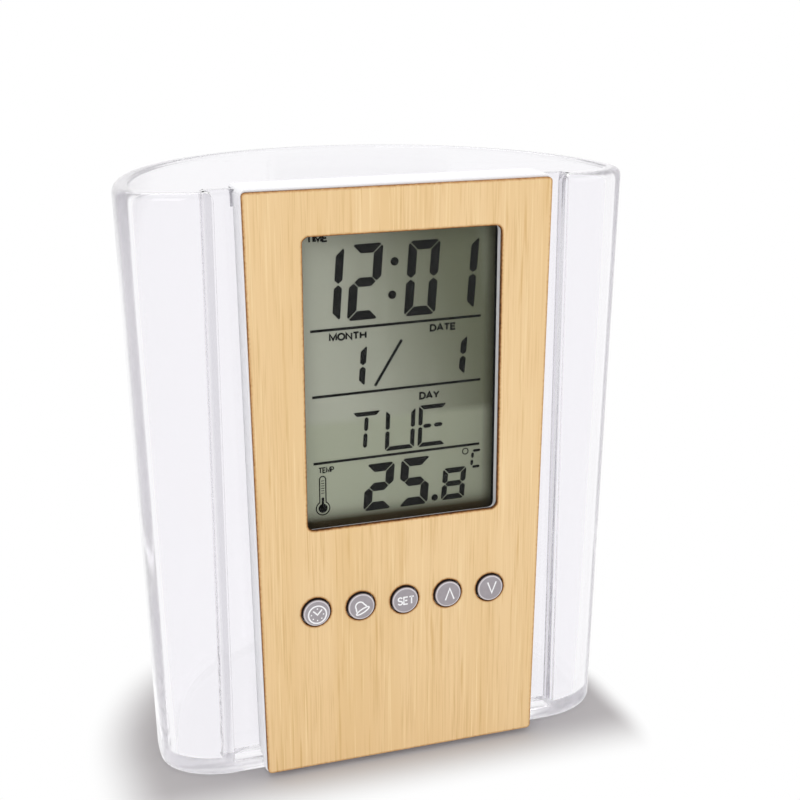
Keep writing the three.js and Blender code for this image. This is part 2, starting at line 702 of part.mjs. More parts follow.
// Digit, left, bottom, width, height and bar
const DIGITS = [
  ['1', 3.2, 70.8, 16.9, 25.4, 1.65],
  ['2', 23.2, 70.8, 16.9, 25.4, 1.65],
  ['0', 51.9, 70.8, 16.9, 25.4, 1.65],
  ['1', 71.9, 70.8, 16.9, 25.4, 1.65],
  ['1', 22.4, 47.9, 10, 13.3, 1.3],
  ['1', 74.2, 47.9, 10, 13.3, 1.3],
  ['2', 30.6, 2.2, 15.6, 17.8, 1.7],
  ['5', 49.1, 2.2, 15.6, 17.8, 1.7],
  ['8', 73.2, 2.8, 11.3, 11.8, 1],
];

// Straight strokes: both ends, and the width
const STROKES = [
  [5.3, 68.1, 92.7, 68.1, 0.36],
  [5.3, 45.4, 92.7, 45.4, 0.36],
  [5.3, 21.9, 92.7, 21.9, 0.36],
  [37.6, 47, 51.4, 62.3, 0.5],
  [26.8, 37.7, 39.4, 37.7, 0.8],
  [32.9, 36.3, 32.4, 31.3, 0.8],
  [32.2, 30.3, 31.7, 25.5, 0.8],
  [43.7, 37.6, 43.2, 31.5, 0.8],
  [43.2, 30.5, 42.7, 24.8, 0.8],
  [57.1, 37.6, 56.5, 31.5, 0.8],
  [56.5, 30.5, 56, 24.8, 0.8],
  [43.5, 23.9, 55.5, 23.9, 0.8],
  [61.4, 37.6, 60.9, 31.5, 0.8],
  [60.6, 30.5, 60.1, 24.8, 0.8],
  [62.2, 38.1, 74, 38.1, 0.8],
  [61.9, 31.2, 66.8, 31.2, 0.75],
  [68.1, 31.2, 72.9, 31.2, 0.75],
  [61.2, 23.9, 72.9, 23.9, 0.8],
];

// Round dots: the colon, the decimal point and the thermometer's bulb
const DOTS = [
  [47.8, 89.3, 0.8],
  [46.7, 77.9, 0.8],
  [68.8, 4, 0.7],
  [10.1, 4.9, 1.4],
];

function displayX(hundredths) {
  return WINDOW_CENTRE_X + (hundredths / 100 - 0.5) * WINDOW_WIDTH;
}

function displayZ(hundredths) {
  return windowBottom + (hundredths / 100) * WINDOW_HEIGHT;
}

function polygon(points) {
  const shape = new THREE.Shape(points.map(([x, z]) => new THREE.Vector2(x, z)));
  shape.closePath();
  return shape;
}

function strokeOutline([x0, z0, x1, z1, width]) {
  const from = new THREE.Vector2(displayX(x0), displayZ(z0));
  const to = new THREE.Vector2(displayX(x1), displayZ(z1));
  const along = to.clone().sub(from).setLength(width / 2);
  return [
    [from.x - along.y, from.y + along.x], [from.x + along.y, from.y - along.x],
    [to.x + along.y, to.y - along.x], [to.x - along.y, to.y + along.x],
  ];
}

// The bars of one digit, leaned to the right
function digitOutlines([digit, left, bottom, width, height, bar]) {
  const acrossSize = (width / 100) * WINDOW_WIDTH;
  const upSize = (height / 100) * WINDOW_HEIGHT;
  const place = ([x, z]) => [displayX(left) + x + z * DIGIT_SLANT, displayZ(bottom) + z];
  return [...DIGIT_BARS[digit]].map(
    (name) => digitBars(name, acrossSize, upSize, bar, BAR_GAP).map(place),
  );
}

function makeImageLayer() {
  const inset = POLARIZER_INSET * 2;
  const plate = rectangle(
    WINDOW_CENTRE_X, windowMiddle, glassWidth - inset, rearGlassHeight - inset, 0,
  );
  let layer = toSolid(slab(plate, imageY, imageY + IMAGE_THICKNESS));
  const front = imageY - IMAGE_RELIEF;
  const back = imageY + IMAGE_THICKNESS / 2;
  [...DIGITS.flatMap(digitOutlines), ...STROKES.map(strokeOutline)].forEach((points) => {
    layer = layer.add(toSolid(slab(polygon(points), front, back)));
  });
  DOTS.forEach(([x, z, radius]) => {
    layer = layer.add(toSolid(disc(radius, displayX(x), displayZ(z), front, back, HEAD_STEPS)));
  });
  return layer;
}

function displaySheet(y, thickness, width, height) {
  const shape = rectangle(WINDOW_CENTRE_X, windowMiddle, width, height, 0);
  return toSolid(slab(shape, y, y + thickness));
}

function makeZebra(direction) {
  const glassEdge = windowMiddle + direction * (rearGlassHeight / 2 + CONTACT_LEDGE / 2);
  const half = glassWidth / 2 - ZEBRA_INSET;
  return toSolid(box(
    WINDOW_CENTRE_X - half, WINDOW_CENTRE_X + half,
    frontGlassY + GLASS_THICKNESS + SEAT_GAP, boardY - SEAT_GAP,
    glassEdge - ZEBRA_WIDTH / 2, glassEdge + ZEBRA_WIDTH / 2,
  ));
}

function makeBoard() {
  const middle = (boardBottom + boardTop) / 2;
  const halfWidth = caseScrewPlaces()[3][0] - CASE_BOSS_RADIUS - BOARD_CLEARANCE;
  const outline = rectangle(0, middle, 2 * halfWidth, boardTop - boardBottom, BOARD_CORNER);
  let board = toSolid(slab(outline, boardY, boardBackY));
  const bore = BOARD_SCREW_RADIUS + SCREW_CLEARANCE;
  const front = boardY - CUT_OVERRUN;
  const back = boardBackY + CUT_OVERRUN;
  boardScrewPlaces().forEach(([x, z]) => {
    board = board.subtract(toSolid(disc(bore, x, z, front, back, SMALL_STEPS)));
  });
  return board;
}

function makeBoardScrew([x, z]) {
  const head = boardBackY + SEAT_GAP;
  const tip = head - BOARD_SCREW_LENGTH;
  const shank = disc(BOARD_SCREW_RADIUS, x, z, tip, head + GLUE_GAP, SMALL_STEPS);
  const cap = disc(BOARD_HEAD_RADIUS, x, z, head, head + BOARD_HEAD_HEIGHT, HEAD_STEPS);
  return toSolid(cap).add(toSolid(shank));
}

function makeCaseScrew([x, z]) {
  const headFront = caseBackY - CASE_SCREW_HEAD_HEIGHT;
  const tip = headFront - CASE_SCREW_LENGTH;
  const shank = disc(CASE_SCREW_RADIUS, x, z, tip, headFront + GLUE_GAP, SMALL_STEPS);
  const head = disc(CASE_SCREW_HEAD_RADIUS, x, z, headFront, caseBackY, HEAD_STEPS);
  const long = CASE_SCREW_HEAD_RADIUS * SCREW_SLOT_SHARE;
  const wide = SCREW_SLOT_WIDTH / 2;
  const slotFloor = caseBackY - CASE_SCREW_HEAD_HEIGHT / 2;
  const back = caseBackY + CUT_OVERRUN;
  const across = toSolid(box(x - long, x + long, slotFloor, back, z - wide, z + wide));
  const upright = toSolid(box(x - wide, x + wide, slotFloor, back, z - long, z + long));
  return toSolid(head).add(toSolid(shank)).subtract(across.add(upright));
}

function makeCell() {
  return turned([
    [0, 0],
    [CELL_RADIUS - CELL_CAP_INSET, 0],
    [CELL_RADIUS - CELL_CAP_INSET, CELL_CAP_STEP],
    [CELL_RADIUS, CELL_CAP_STEP],
    [CELL_RADIUS, CELL_THICKNESS],
    [0, CELL_THICKNESS],
  ], CELL_X, cellY, cellZ, COVER_STEPS);
}

// A bent strip: flat under the battery, stepped back to the board's front face
function makeNegativeContact() {
  const low = caseInnerY + CONTACT_GAP;
  const high = boardY - CONTACT_GAP - CONTACT_THICKNESS;
  const bend = cellZ + CELL_RADIUS + COVER_CLEARANCE;
  const start = cellZ - CELL_RADIUS / 2;
  const end = boardBottom + CONTACT_THICKNESS;
  const tip = matBottom - COVER_CLEARANCE;
  const t = CONTACT_THICKNESS;
  const shape = polygon([
    [low, start], [low + t, start], [low + t, bend], [high + t, end], [high + t, tip],
    [high, tip], [high, end], [low, bend + t],
  ]);
  const strip = new THREE.ExtrudeGeometry(shape, { depth: CONTACT_WIDTH, bevelEnabled: false });
  const left = CELL_X - CONTACT_WIDTH / 2;
  const turn = new THREE.Matrix4().set(0, 0, 1, left, 1, 0, 0, 0, 0, 1, 0, 0, 0, 0, 0, 1);
  return toSolid(strip.applyMatrix4(turn));
}

// A curved clip against the battery's side, with a tab up to the board's front face
function makePositiveContact() {
  const inner = CELL_RADIUS + CONTACT_GAP;
  const outer = inner + CONTACT_THICKNESS;
  const back = boardY - CONTACT_GAP;
  const front = cellY + CELL_CAP_STEP * 2;
  const clip = toSolid(slab(sector(inner, outer, CLIP_START_ANGLE, CLIP_END_ANGLE), front, back));
  const root = cellZ + Math.sqrt(outer ** 2 - CLIP_TAB_X ** 2) - CONTACT_THICKNESS;
  const tip = matBottom - COVER_CLEARANCE;
  const half = CONTACT_WIDTH / 4;
  const tabFront = back - CONTACT_THICKNESS;
  const tab = toSolid(box(CLIP_TAB_X - half, CLIP_TAB_X + half, tabFront, back, root, tip));
  const past = CUT_OVERRUN;
  const room = toSolid(disc(inner, CELL_X, cellZ, front - past, back + past, CLIP_STEPS));
  return clip.add(tab).subtract(room);
}

function makeChip() {
  const profile = [[0, -CHIP_HEIGHT]];
  for (let i = 1; i <= CORNER_STEPS; i += 1) {
    const angle = (Math.PI / 2 / CORNER_STEPS) * i;
    profile.push([CHIP_RADIUS * Math.sin(angle), -CHIP_HEIGHT * Math.cos(angle)]);
  }
  profile.push([0, 0]);
  return turned(profile, CHIP_X, boardY - SEAT_GAP, boardPartsZ, CAP_STEPS);
}

function makeCrystal() {
  const can = new THREE.CylinderGeometry(CRYSTAL_RADIUS, CRYSTAL_RADIUS, CRYSTAL_LENGTH, HEAD_STEPS);
  can.rotateZ(Math.PI / 2);
  return toSolid(can.translate(CRYSTAL_X, boardY - SEAT_GAP - CRYSTAL_RADIUS, boardPartsZ));
}

function makeCapacitor(index) {
  const [width, depth, height] = CAPACITOR_SIZE;
  const z = boardPartsZ + (index - 0.5) * CAPACITOR_PITCH;
  const back = boardY - SEAT_GAP;
  return toSolid(box(
    CAPACITOR_X - width / 2, CAPACITOR_X + width / 2,
    back - depth, back,
    z - height / 2, z + height / 2,
  ));
}

function makeThermistor() {
  const bead = new THREE.SphereGeometry(THERMISTOR_RADIUS, HEAD_STEPS, SMALL_STEPS);
  return toSolid(bead.translate(THERMISTOR_X, boardY - SEAT_GAP - THERMISTOR_RADIUS, boardPartsZ));
}

function material(color, roughness, metalness = 0, opacity = 1) {
  const transparent = opacity < 1;
  return new THREE.MeshStandardMaterial({ color, roughness, metalness, opacity, transparent });
}

const clearPlastic = () => material(0xeef2f6, 0.05, 0, 0.3);
const whitePlastic = () => material(0xe9eaec, 0.25);
const bambooWood = () => material(0xe8c88f, 0.55);
const glass = () => material(0xdfe6df, 0.05, 0, 0.35);
const steel = () => material(0xb9bbc0, 0.3, 0.9);
const brass = () => material(0xc9a24e, 0.35, 0.9);

const part = new THREE.Group();

function addPiece(name, solid, look) {
  const mesh = new THREE.Mesh(toGeometry(solid), look);
  mesh.name = name;
  part.add(mesh);
}

addPiece('cup', makeCup(), clearPlastic());
addPiece('bamboo_face', makeBamboo(), bambooWood());
addPiece('case_front', makeCaseFront(), whitePlastic());
addPiece('case_back', makeCaseBack(), whitePlastic());
addPiece('battery_cover', makeBatteryCover(), whitePlastic());

const sheetWidth = glassWidth - 2 * POLARIZER_INSET;
const sheetHeight = rearGlassHeight - 2 * POLARIZER_INSET;
addPiece(
  'display_polarizer',
  displaySheet(polarizerY, POLARIZER_THICKNESS, sheetWidth, sheetHeight),
  material(0xa3a893, 0.2, 0, 0.4),
);
addPiece(
  'display_front_glass',
  displaySheet(frontGlassY, GLASS_THICKNESS, glassWidth, frontGlassHeight),
  glass(),
);
addPiece('display_image', makeImageLayer(), material(0x2d2d2b, 0.4));
addPiece(
  'display_rear_glass',
  displaySheet(rearGlassY, GLASS_THICKNESS, glassWidth, rearGlassHeight),
  glass(),
);
addPiece(
  'display_reflector',
  displaySheet(reflectorY, POLARIZER_THICKNESS, sheetWidth, sheetHeight),
  material(0x9aa08a, 0.4),
);
addPiece('zebra_strip_top', makeZebra(1), material(0xd9a0a0, 0.8));
addPiece('zebra_strip_bottom', makeZebra(-1), material(0xd9a0a0, 0.8));

addPiece('circuit_board', makeBoard(), material(0x2f6b3c, 0.5));
boardScrewPlaces().forEach((place, i) => {
  addPiece(`board_screw_${i + 1}`, makeBoardScrew(place), steel());
});
addPiece('chip_blob', makeChip(), material(0x17171a, 0.35));
addPiece('crystal', makeCrystal(), steel());
addPiece('thermistor', makeThermistor(), material(0x2b2b30, 0.5));
[0, 1].forEach((i) => {
  addPiece(`capacitor_${i + 1}`, makeCapacitor(i), material(0xb98a55, 0.6));
});
addPiece(
  'buzzer_plate',
  toSolid(disc(BUZZER_RADIUS, BUZZER_X, buzzerZ, buzzerY, buzzerY + BUZZER_THICKNESS)),
  brass(),
);
addPiece(
  'buzzer_ceramic',
  toSolid(disc(CERAMIC_RADIUS, BUZZER_X, buzzerZ, ceramicY, ceramicY + CERAMIC_THICKNESS)),
  material(0xe5e2d8, 0.6),
);

addPiece('key_mat', makeKeyMat(), material(0x8b8a86, 0.8));
KEY_NAMES.forEach((name, i) => addPiece(`${name}_key`, makeKey(i), material(0x77727a, 0.45)));

addPiece('coin_cell', makeCell(), steel());
addPiece('contact_negative', makeNegativeContact(), brass());
addPiece('contact_positive', makePositiveContact(), brass());
caseScrewPlaces().forEach((place, i) => {
  addPiece(`case_screw_${i + 1}`, makeCaseScrew(place), steel());
});

export default part;
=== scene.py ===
"""A clear D-shaped pen cup with a bamboo-faced clock module hooked over its front wall."""
import math

import bmesh
import bpy
import numpy as np
from mathutils import Matrix, Vector
from mathutils.geometry import tessellate_polygon


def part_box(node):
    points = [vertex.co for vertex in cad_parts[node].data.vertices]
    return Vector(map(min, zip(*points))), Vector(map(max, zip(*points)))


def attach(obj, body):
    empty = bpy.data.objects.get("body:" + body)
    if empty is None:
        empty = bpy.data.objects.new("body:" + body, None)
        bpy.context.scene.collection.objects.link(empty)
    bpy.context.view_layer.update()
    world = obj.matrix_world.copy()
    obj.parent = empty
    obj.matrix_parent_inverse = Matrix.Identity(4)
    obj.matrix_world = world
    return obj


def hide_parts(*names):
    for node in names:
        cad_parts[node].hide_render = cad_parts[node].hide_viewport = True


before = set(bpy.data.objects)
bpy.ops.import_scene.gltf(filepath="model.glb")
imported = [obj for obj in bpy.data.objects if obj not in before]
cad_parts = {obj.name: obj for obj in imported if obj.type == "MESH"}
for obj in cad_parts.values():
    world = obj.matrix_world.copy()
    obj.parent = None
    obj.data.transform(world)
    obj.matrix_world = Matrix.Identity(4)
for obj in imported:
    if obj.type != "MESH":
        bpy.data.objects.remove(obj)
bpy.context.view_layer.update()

# Places that the frame gives, in metres
CUP_LOW, CUP_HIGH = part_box("cup")
FACE_LOW, FACE_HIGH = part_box("bamboo_face")
COVER_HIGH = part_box("case_back")[1]
IMAGE_LOW, IMAGE_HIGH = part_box("display_image")
KEY_NODES = ("clock_key", "alarm_key", "set_key", "up_key", "down_key")
KEY_ROW = [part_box(name) for name in KEY_NODES]

MM = 0.001

# Cup, most sizes as the solid's
RIM_HALF_WIDTH = 50.3 * MM
BASE_HALF_WIDTH = 47.2 * MM
RIM_CORNER_WIDTH = 15.7 * MM
BASE_CORNER_WIDTH = 13.5 * MM
CORNER_DEPTH = 10.1 * MM
RIM_BACK_DEPTH = 51.5 * MM
BASE_BACK_DEPTH = 49.3 * MM
CUP_WALL = 3.2 * MM
FRONT_WALL = 2.8 * MM
FLOOR_THICKNESS = 3 * MM
RECESS_HALF_WIDTH = 34.2 * MM
RECESS_FILLET = 0.4 * MM
RECESS_EDGE = 0.5 * MM
WELL_STEP_X = 35.8 * MM
WELL_STEP_FILLET = 0.7 * MM
WELL_CORNER = 0.45 * MM
RIM_OUTER_RADIUS = 1.7 * MM
RIM_INNER_RADIUS = 0.6 * MM
BASE_EDGE_RADIUS = 1.6 * MM
LEDGE_EDGE_RADIUS = 0.5 * MM
FLOOR_FILLET = 0.4 * MM
MODULE_CLEARANCE = 0.2 * MM

CUP_TOP = CUP_HIGH.z
CUP_FRONT_Y = CUP_LOW.y
WIDEST_Y = CUP_FRONT_Y + CORNER_DEPTH
RECESS_Y = COVER_HIGH.y + MODULE_CLEARANCE

# Bamboo face
FACE_TOP_WIDTH = 60 * MM
FACE_BOTTOM_WIDTH = 56.5 * MM
FACE_CORNER = 0.8 * MM
FACE_EDGE = 0.08 * MM
WINDOW_WIDTH = 39 * MM
WINDOW_HEIGHT = 56.7 * MM
WINDOW_CENTRE_X = 0.35 * MM
WINDOW_TOP_MARGIN = 8.55 * MM
WINDOW_CORNER = 1.3 * MM
KEY_HOLE_RADIUS = 2.95 * MM
BURN_WIDTH = 0.55 * MM
EDGE_BURN = 0.72
WINDOW_BURN = 0.9
KEY_BURN = 1.0
# Bands that follow each edge: distance inwards and depth behind the front
FACE_BANDS = (
    (0.0, FACE_EDGE), (0.3 * FACE_EDGE, 0.3 * FACE_EDGE), (FACE_EDGE, 0.0),
    (2.5 * FACE_EDGE, 0.0), (BURN_WIDTH / 2, 0.0), (BURN_WIDTH, 0.0),
)
WINDOW_MIDDLE_Z = FACE_HIGH.z - WINDOW_TOP_MARGIN - WINDOW_HEIGHT / 2
DISPLAY_DROP = 28.15 * MM
DISPLAY_Z = FACE_HIGH.z - WINDOW_TOP_MARGIN - DISPLAY_DROP
DISPLAY_ORIGIN = np.array([0.0, DISPLAY_Z])

# Display's painted shades, a dark shadow line at the right edge among them: where each starts and
# ends, from the window's edges or the rows' origin
SHADE_SLOPE = 0.33
SHADE_TOP = 20 * MM
SLANT_SHADE = (-4 * MM, -6 * MM)
UPPER_ROWS = (-9.0 * MM, -7.4 * MM)
LOW_SHADE = (4.1 * MM, 0.35 * MM)
LOW_SHADE_POWER = 2.2
SIDE_SHADE = (-2.4 * MM, 0.2 * MM)
RIGHT_EDGE_SHADOW = (-0.1 * MM, 0.05 * MM)

# Keys
KEY_RADIUS = 2.75 * MM
KEY_EDGE = 0.4 * MM
KEY_FLANGE_RADIUS = 3.5 * MM
KEY_FLANGE_THICKNESS = 0.4 * MM
KEY_STEM_RADIUS = 1.4 * MM
KEY_STEM_LENGTH = 0.2 * MM
KEY_LINE = 0.3 * MM
MARK_PROUD = 0.015 * MM
MARK_THICKNESS = 0.04 * MM
# Points of a key's profile that get a painted highlight on its rim and painted shade on its sides
KEY_LIT_RIM = slice(3, 6)
KEY_SHADED_SIDE = slice(8, None)

# Steps round circles and corners
ROUND_STEPS = 64
CORNER_STEPS = 8
KEY_EDGE_STEPS = 8
DOT_STEPS = 28

# Points and steps along a row of the cup's skin, from the middle of its front
WALL_POINTS = 9
HOLLOW_STEPS = 6
EDGE_STEPS = 8
RECESS_POINTS = WALL_POINTS + HOLLOW_STEPS + EDGE_STEPS + 1
LOBE_STEPS = 24
BACK_STEPS = 48

# Steps up the cup's skin, and the rows that lie on its outside and inside
BASE_STEPS = 6
LEDGE_STEPS = 4
SIDE_STEPS = 6
RIM_OUTER_STEPS = 7
RIM_STEPS = 5
FLOOR_STEPS = 6
ROWS_BELOW = BASE_STEPS + LEDGE_STEPS + 2
INSIDE_ROWS = RIM_STEPS + SIDE_STEPS + FLOOR_STEPS + 1

# The recess's side faces among a row's points, where grey shade is painted on the clear plastic,
# and the painted shade's share beside the left one
SHADED_POINTS = (WALL_POINTS + 2, RECESS_POINTS - 5)
LEFT_SHADE = 0.9

TINY = 1e-7
MERGE_DISTANCE = 2e-7
MITRE_LIMIT = 0.5


# Mesh pieces: each is a pair of a vertex array and a list of faces


def join(parts):
    """One mesh from several, by shifting each one's faces past the vertices before it."""
    vertices, faces, start = [], [], 0
    for points, polygons in parts:
        vertices.append(points)
        faces += [tuple(int(i) + start for i in polygon) for polygon in polygons]
        start += len(points)
    return np.concatenate(vertices), faces


def grid_faces(rows, columns, wrap_rows=False):
    """Quads of a grid of rows by columns, each row closed on itself, the rows too where asked."""
    down = np.arange(rows if wrap_rows else rows - 1)
    r, c = np.meshgrid(down, np.arange(columns), indexing="ij")
    r2, c2 = (r + 1) % rows, (c + 1) % columns
    row, row2 = r * columns, r2 * columns
    quads = np.stack([row + c, row + c2, row2 + c2, row2 + c], axis=-1)
    return quads.reshape(-1, 4).tolist()


def fill(loops):
    """Triangles that fill a flat outline, the first loop, less the holes, the other loops."""
    return [tuple(t) for t in tessellate_polygon([[Vector(p) for p in loop] for loop in loops])]


def capped_loft(rows):
    """A skin through rows of points that each close on themselves, with both ends filled."""
    count, columns = rows.shape[:2]
    faces = grid_faces(count, columns)
    last = (count - 1) * columns
    faces += fill([rows[0]])
    faces += [tuple(i + last for i in t) for t in fill([rows[-1]])]
    return rows.reshape(-1, 3), faces


def front_points(outline, y):
    """An outline of (x, z) pairs placed in the plane at depth y."""
    outline = np.asarray(outline, float)
    return np.stack([outline[:, 0], np.full(len(outline), y), outline[:, 1]], axis=1)


def prism(outline, y0, y1):
    """An outline in the front view given thickness from y0 back to y1."""
    return capped_loft(np.stack([front_points(outline, y0), front_points(outline, y1)]))


def arc(centre, radius, start, end, steps):
    """Points on a circle: centre plus radius times (cos, sin) from start to end, in degrees."""
    angle = np.radians(np.linspace(start, end, steps + 1))
    x = centre[0] + radius * np.cos(angle)
    y = centre[1] + radius * np.sin(angle)
    return np.stack([x, y], axis=1)


def circle(centre, radius, steps=ROUND_STEPS):
    """A closed circle without its repeated last point."""
    return arc(centre, radius, 0, 360, steps)[:-1]


def rounded(corners, radius):
    """A polygon whose corners become circle arcs that touch both sides."""
    corners = np.asarray(corners, float)
    points = []
    for i, corner in enumerate(corners):
        to_before = corners[i - 1] - corner
        to_after = corners[(i + 1) % len(corners)] - corner
        to_before /= np.linalg.norm(to_before)
        to_after /= np.linalg.norm(to_after)
        half = math.acos(np.clip(to_before @ to_after, -1, 1)) / 2
        middle = (to_before + to_after) / np.linalg.norm(to_before + to_after)
        centre = corner + middle * radius / math.sin(half)
        start = corner + to_before * radius / math.tan(half) - centre
        end = corner + to_after * radius / math.tan(half) - centre
        t = np.linspace(0, 1, CORNER_STEPS + 1)[:, None]
        sweep = start * (1 - t) + end * t
        points.append(centre + radius * sweep / np.linalg.norm(sweep, axis=1)[:, None])
    return np.concatenate(points)


def rectangle(x, z, width, height, radius):
    """An upright rectangle about (x, z) with rounded corners."""
    w, h = width / 2, height / 2
    corners = [(x - w, z - h), (x + w, z - h), (x + w, z + h), (x - w, z + h)]
    return rounded(corners, radius)


def inset(outline, distance):
    """A closed outline moved to its left by a distance, along the mean of its sides' normals."""
    before = outline - np.roll(outline, 1, axis=0)
    after = np.roll(outline, -1, axis=0) - outline
    before /= np.maximum(np.linalg.norm(before, axis=1), TINY)[:, None]
    after /= np.maximum(np.linalg.norm(after, axis=1), TINY)[:, None]
    side = np.stack([-(before + after)[:, 1], (before + after)[:, 0]], axis=1)
    side /= np.linalg.norm(side, axis=1)[:, None]
    lean = np.sum(side * np.stack([-after[:, 1], after[:, 0]], axis=1), axis=1)
    return outline + side * (distance / np.maximum(lean, MITRE_LIMIT))[:, None]


def ribbon(points, width, y_front, y_back, closed=False):
    """A flat bar along a line, half the width to each side, its bends mitred up to a limit."""
    points = np.asarray(points, float)
    ahead = np.roll(points, -1, axis=0) - points
    if not closed:
        ahead[-1] = ahead[-2]
    ahead /= np.linalg.norm(ahead, axis=1)[:, None]
    behind = np.roll(ahead, 1, axis=0)
    if not closed:
        behind[0] = ahead[0]
    along = ahead + behind
    along /= np.linalg.norm(along, axis=1)[:, None]
    stretch = 1 / np.maximum(np.sum(along * ahead, axis=1), MITRE_LIMIT)
    side = np.stack([-along[:, 1], along[:, 0]], axis=1) * (width / 2 * stretch)[:, None]
    left, right = points + side, points - side
    section = np.stack([
        front_points(left, y_front), front_points(right, y_front),
        front_points(right, y_back), front_points(left, y_back),
    ], axis=1)
    if closed:
        return section.reshape(-1, 3), grid_faces(len(points), 4, wrap_rows=True)
    return capped_loft(section)


def turned(profile, centre):
    """A profile of (radius, y) turned about an axis that runs front to back."""
    profile = np.asarray(profile, float)
    angle = np.linspace(0, 2 * math.pi, ROUND_STEPS, endpoint=False)
    x = centre[0] + profile[:, :1] * np.cos(angle)
    z = centre[1] + profile[:, :1] * np.sin(angle)
    y = np.repeat(profile[:, 1:], ROUND_STEPS, axis=1)
    rows = np.stack([x, y, z], axis=-1)
    return rows.reshape(-1, 3), grid_faces(len(profile), ROUND_STEPS)


def add_object(name, data):
    """A new object in the scene."""
    item = bpy.data.objects.new(name, data)
    bpy.context.scene.collection.objects.link(item)
    return item


def make_object(
    name, mesh_data, body, material, replaced=(), smooth=0.0, attributes=None,
):
    """An object from mesh data: doubles merged, faces turned outwards, smooth below an angle."""
    points, faces = mesh_data
    mesh = bpy.data.meshes.new(name)
    mesh.from_pydata(points.tolist(), [], [tuple(f) for f in faces])
    for key, values in (attributes or {}).items():
        layer = mesh.attributes.new(key, "FLOAT", "POINT")
        layer.data.foreach_set("value", np.asarray(values, np.float32))
    shape = bmesh.new()
    shape.from_mesh(mesh)
    bmesh.ops.remove_doubles(shape, verts=shape.verts, dist=MERGE_DISTANCE)
    bmesh.ops.dissolve_degenerate(shape, edges=shape.edges, dist=TINY)
    bmesh.ops.recalc_face_normals(shape, faces=shape.faces)
    shape.to_mesh(mesh)
    shape.free()
    if smooth:
        mesh.shade_smooth()
        mesh.set_sharp_from_angle(angle=math.radians(smooth))
    mesh.materials.append(material)
    piece = add_object(name, mesh)
    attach(piece, body)
    if replaced:
        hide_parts(*replaced)


# Materials


def put(tree, socket, value):
    """A value, or the output of another node, into an input socket."""
    if isinstance(value, bpy.types.NodeSocket):
        tree.links.new(value, socket)
    else:
        socket.default_value = value


def feed(tree, node, **inputs):
    """Values or outputs into a node's inputs, by label with _ for a space."""
    for label, value in inputs.items():
        put(tree, node.inputs[label.replace("_", " ")], value)


def add_node(tree, kind, **inputs):
    """A new node of a kind with its inputs fed."""
    node = tree.nodes.new(kind)
    feed(tree, node, **inputs)
    return node


def math_node(tree, operation, a, b):
    """A Math node; each of a and b is a socket or a number."""
    node = tree.nodes.new("ShaderNodeMath")
    node.operation = operation
    for socket, value in zip(node.inputs, (a, b)):
        put(tree, socket, value)
    return node.outputs[0]


def length_node(tree, a, b):
    """The square root of a squared plus b squared."""
    squares = [math_node(tree, "POWER", value, 2.0) for value in (a, b)]
    return math_node(tree, "SQRT", math_node(tree, "ADD", *squares), 0)


def above_zero(tree, value):
    """A value, or 0 where it is negative."""
    return math_node(tree, "MAXIMUM", value, 0.0)


def noise(tree, scale, stretch=(1, 1, 1), detail=3.0):
    """Noise over Object coordinates, in cells per metre, stretched along an axis."""
    place = tree.nodes.new("ShaderNodeTexCoord").outputs["Object"]
    mapping = add_node(tree, "ShaderNodeMapping", Vector=place, Scale=stretch)
    texture = add_node(
        tree, "ShaderNodeTexNoise", Vector=mapping.outputs["Vector"], Scale=scale, Detail=detail,
    )
    return texture.outputs["Fac"]


def build_finish_group():
    """Moulding texture: roughness is a base plus noise times a spread, height is fine noise."""
    tree = bpy.data.node_groups.new("moulded_finish", "ShaderNodeTree")
    inputs = (("Roughness", 0.3), ("Spread", 0.1), ("Scale", 400.0), ("Grain", 4000.0))
    for label, default in inputs:
        socket = tree.interface.new_socket(label, in_out="INPUT", socket_type="NodeSocketFloat")
        socket.default_value = default
    for label in ("Roughness", "Height", "Mask"):
        tree.interface.new_socket(label, in_out="OUTPUT", socket_type="NodeSocketFloat")
    inlet, outlet = tree.nodes.new("NodeGroupInput"), tree.nodes.new("NodeGroupOutput")
    broad = noise(tree, inlet.outputs["Scale"])
    fine = noise(tree, inlet.outputs["Grain"], detail=1.0)
    centred = math_node(tree, "SUBTRACT", broad, 0.5)
    spread = math_node(tree, "MULTIPLY", centred, inlet.outputs["Spread"])
    rough = math_node(tree, "ADD", spread, inlet.outputs["Roughness"])
    feed(tree, outlet, Roughness=rough, Height=fine, Mask=broad)
    return tree


FINISH = build_finish_group()


def finish_node(tree, roughness, spread, scale, grain):
    """The moulded finish's group with its numbers set."""
    node = tree.nodes.new("ShaderNodeGroup")
    node.node_tree = FINISH
    feed(tree, node, Roughness=roughness, Spread=spread, Scale=scale, Grain=grain)
    return node


def srgb(red, green, blue):
    """A linear colour from display values of 0 to 255.

    Each as a share v of 255 is v / 12.92 up to 0.04045, and ((v + 0.055) / 1.055) to the 2.4 above.
    """
    def channel(value):
        """One channel."""
        v = value / 255
        return v / 12.92 if v <= 0.04045 else ((v + 0.055) / 1.055) ** 2.4
    return (channel(red), channel(green), channel(blue), 1.0)


def base_material(name):
    """A material with its node tree and Principled shader."""
    material = bpy.data.materials.new(name)
    material.use_nodes = True
    return material, material.node_tree, material.node_tree.nodes["Principled BSDF"]


def mix_colour(tree, factor, low, high):
    """A colour that goes from low to high as the factor goes from 0 to 1."""
    node = tree.nodes.new("ShaderNodeMix")
    node.data_type = "RGBA"
    feed(tree, node, Factor=factor, A=low, B=high)
    return node.outputs["Result"]


def ramp(tree, value, low, high, curve="LINEAR"):
    """0 below low, 1 above high, and straight or smooth between."""
    node = add_node(tree, "ShaderNodeMapRange", Value=value, From_Min=low, From_Max=high)
    node.interpolation_type = curve
    return node.outputs["Result"]


def bump(tree, height, shader, distance):
    """A Bump node, in metres of height, into the shader's normal."""
    node = add_node(tree, "ShaderNodeBump", Height=height, Distance=distance)
    feed(tree, shader, Normal=node.outputs["Normal"])


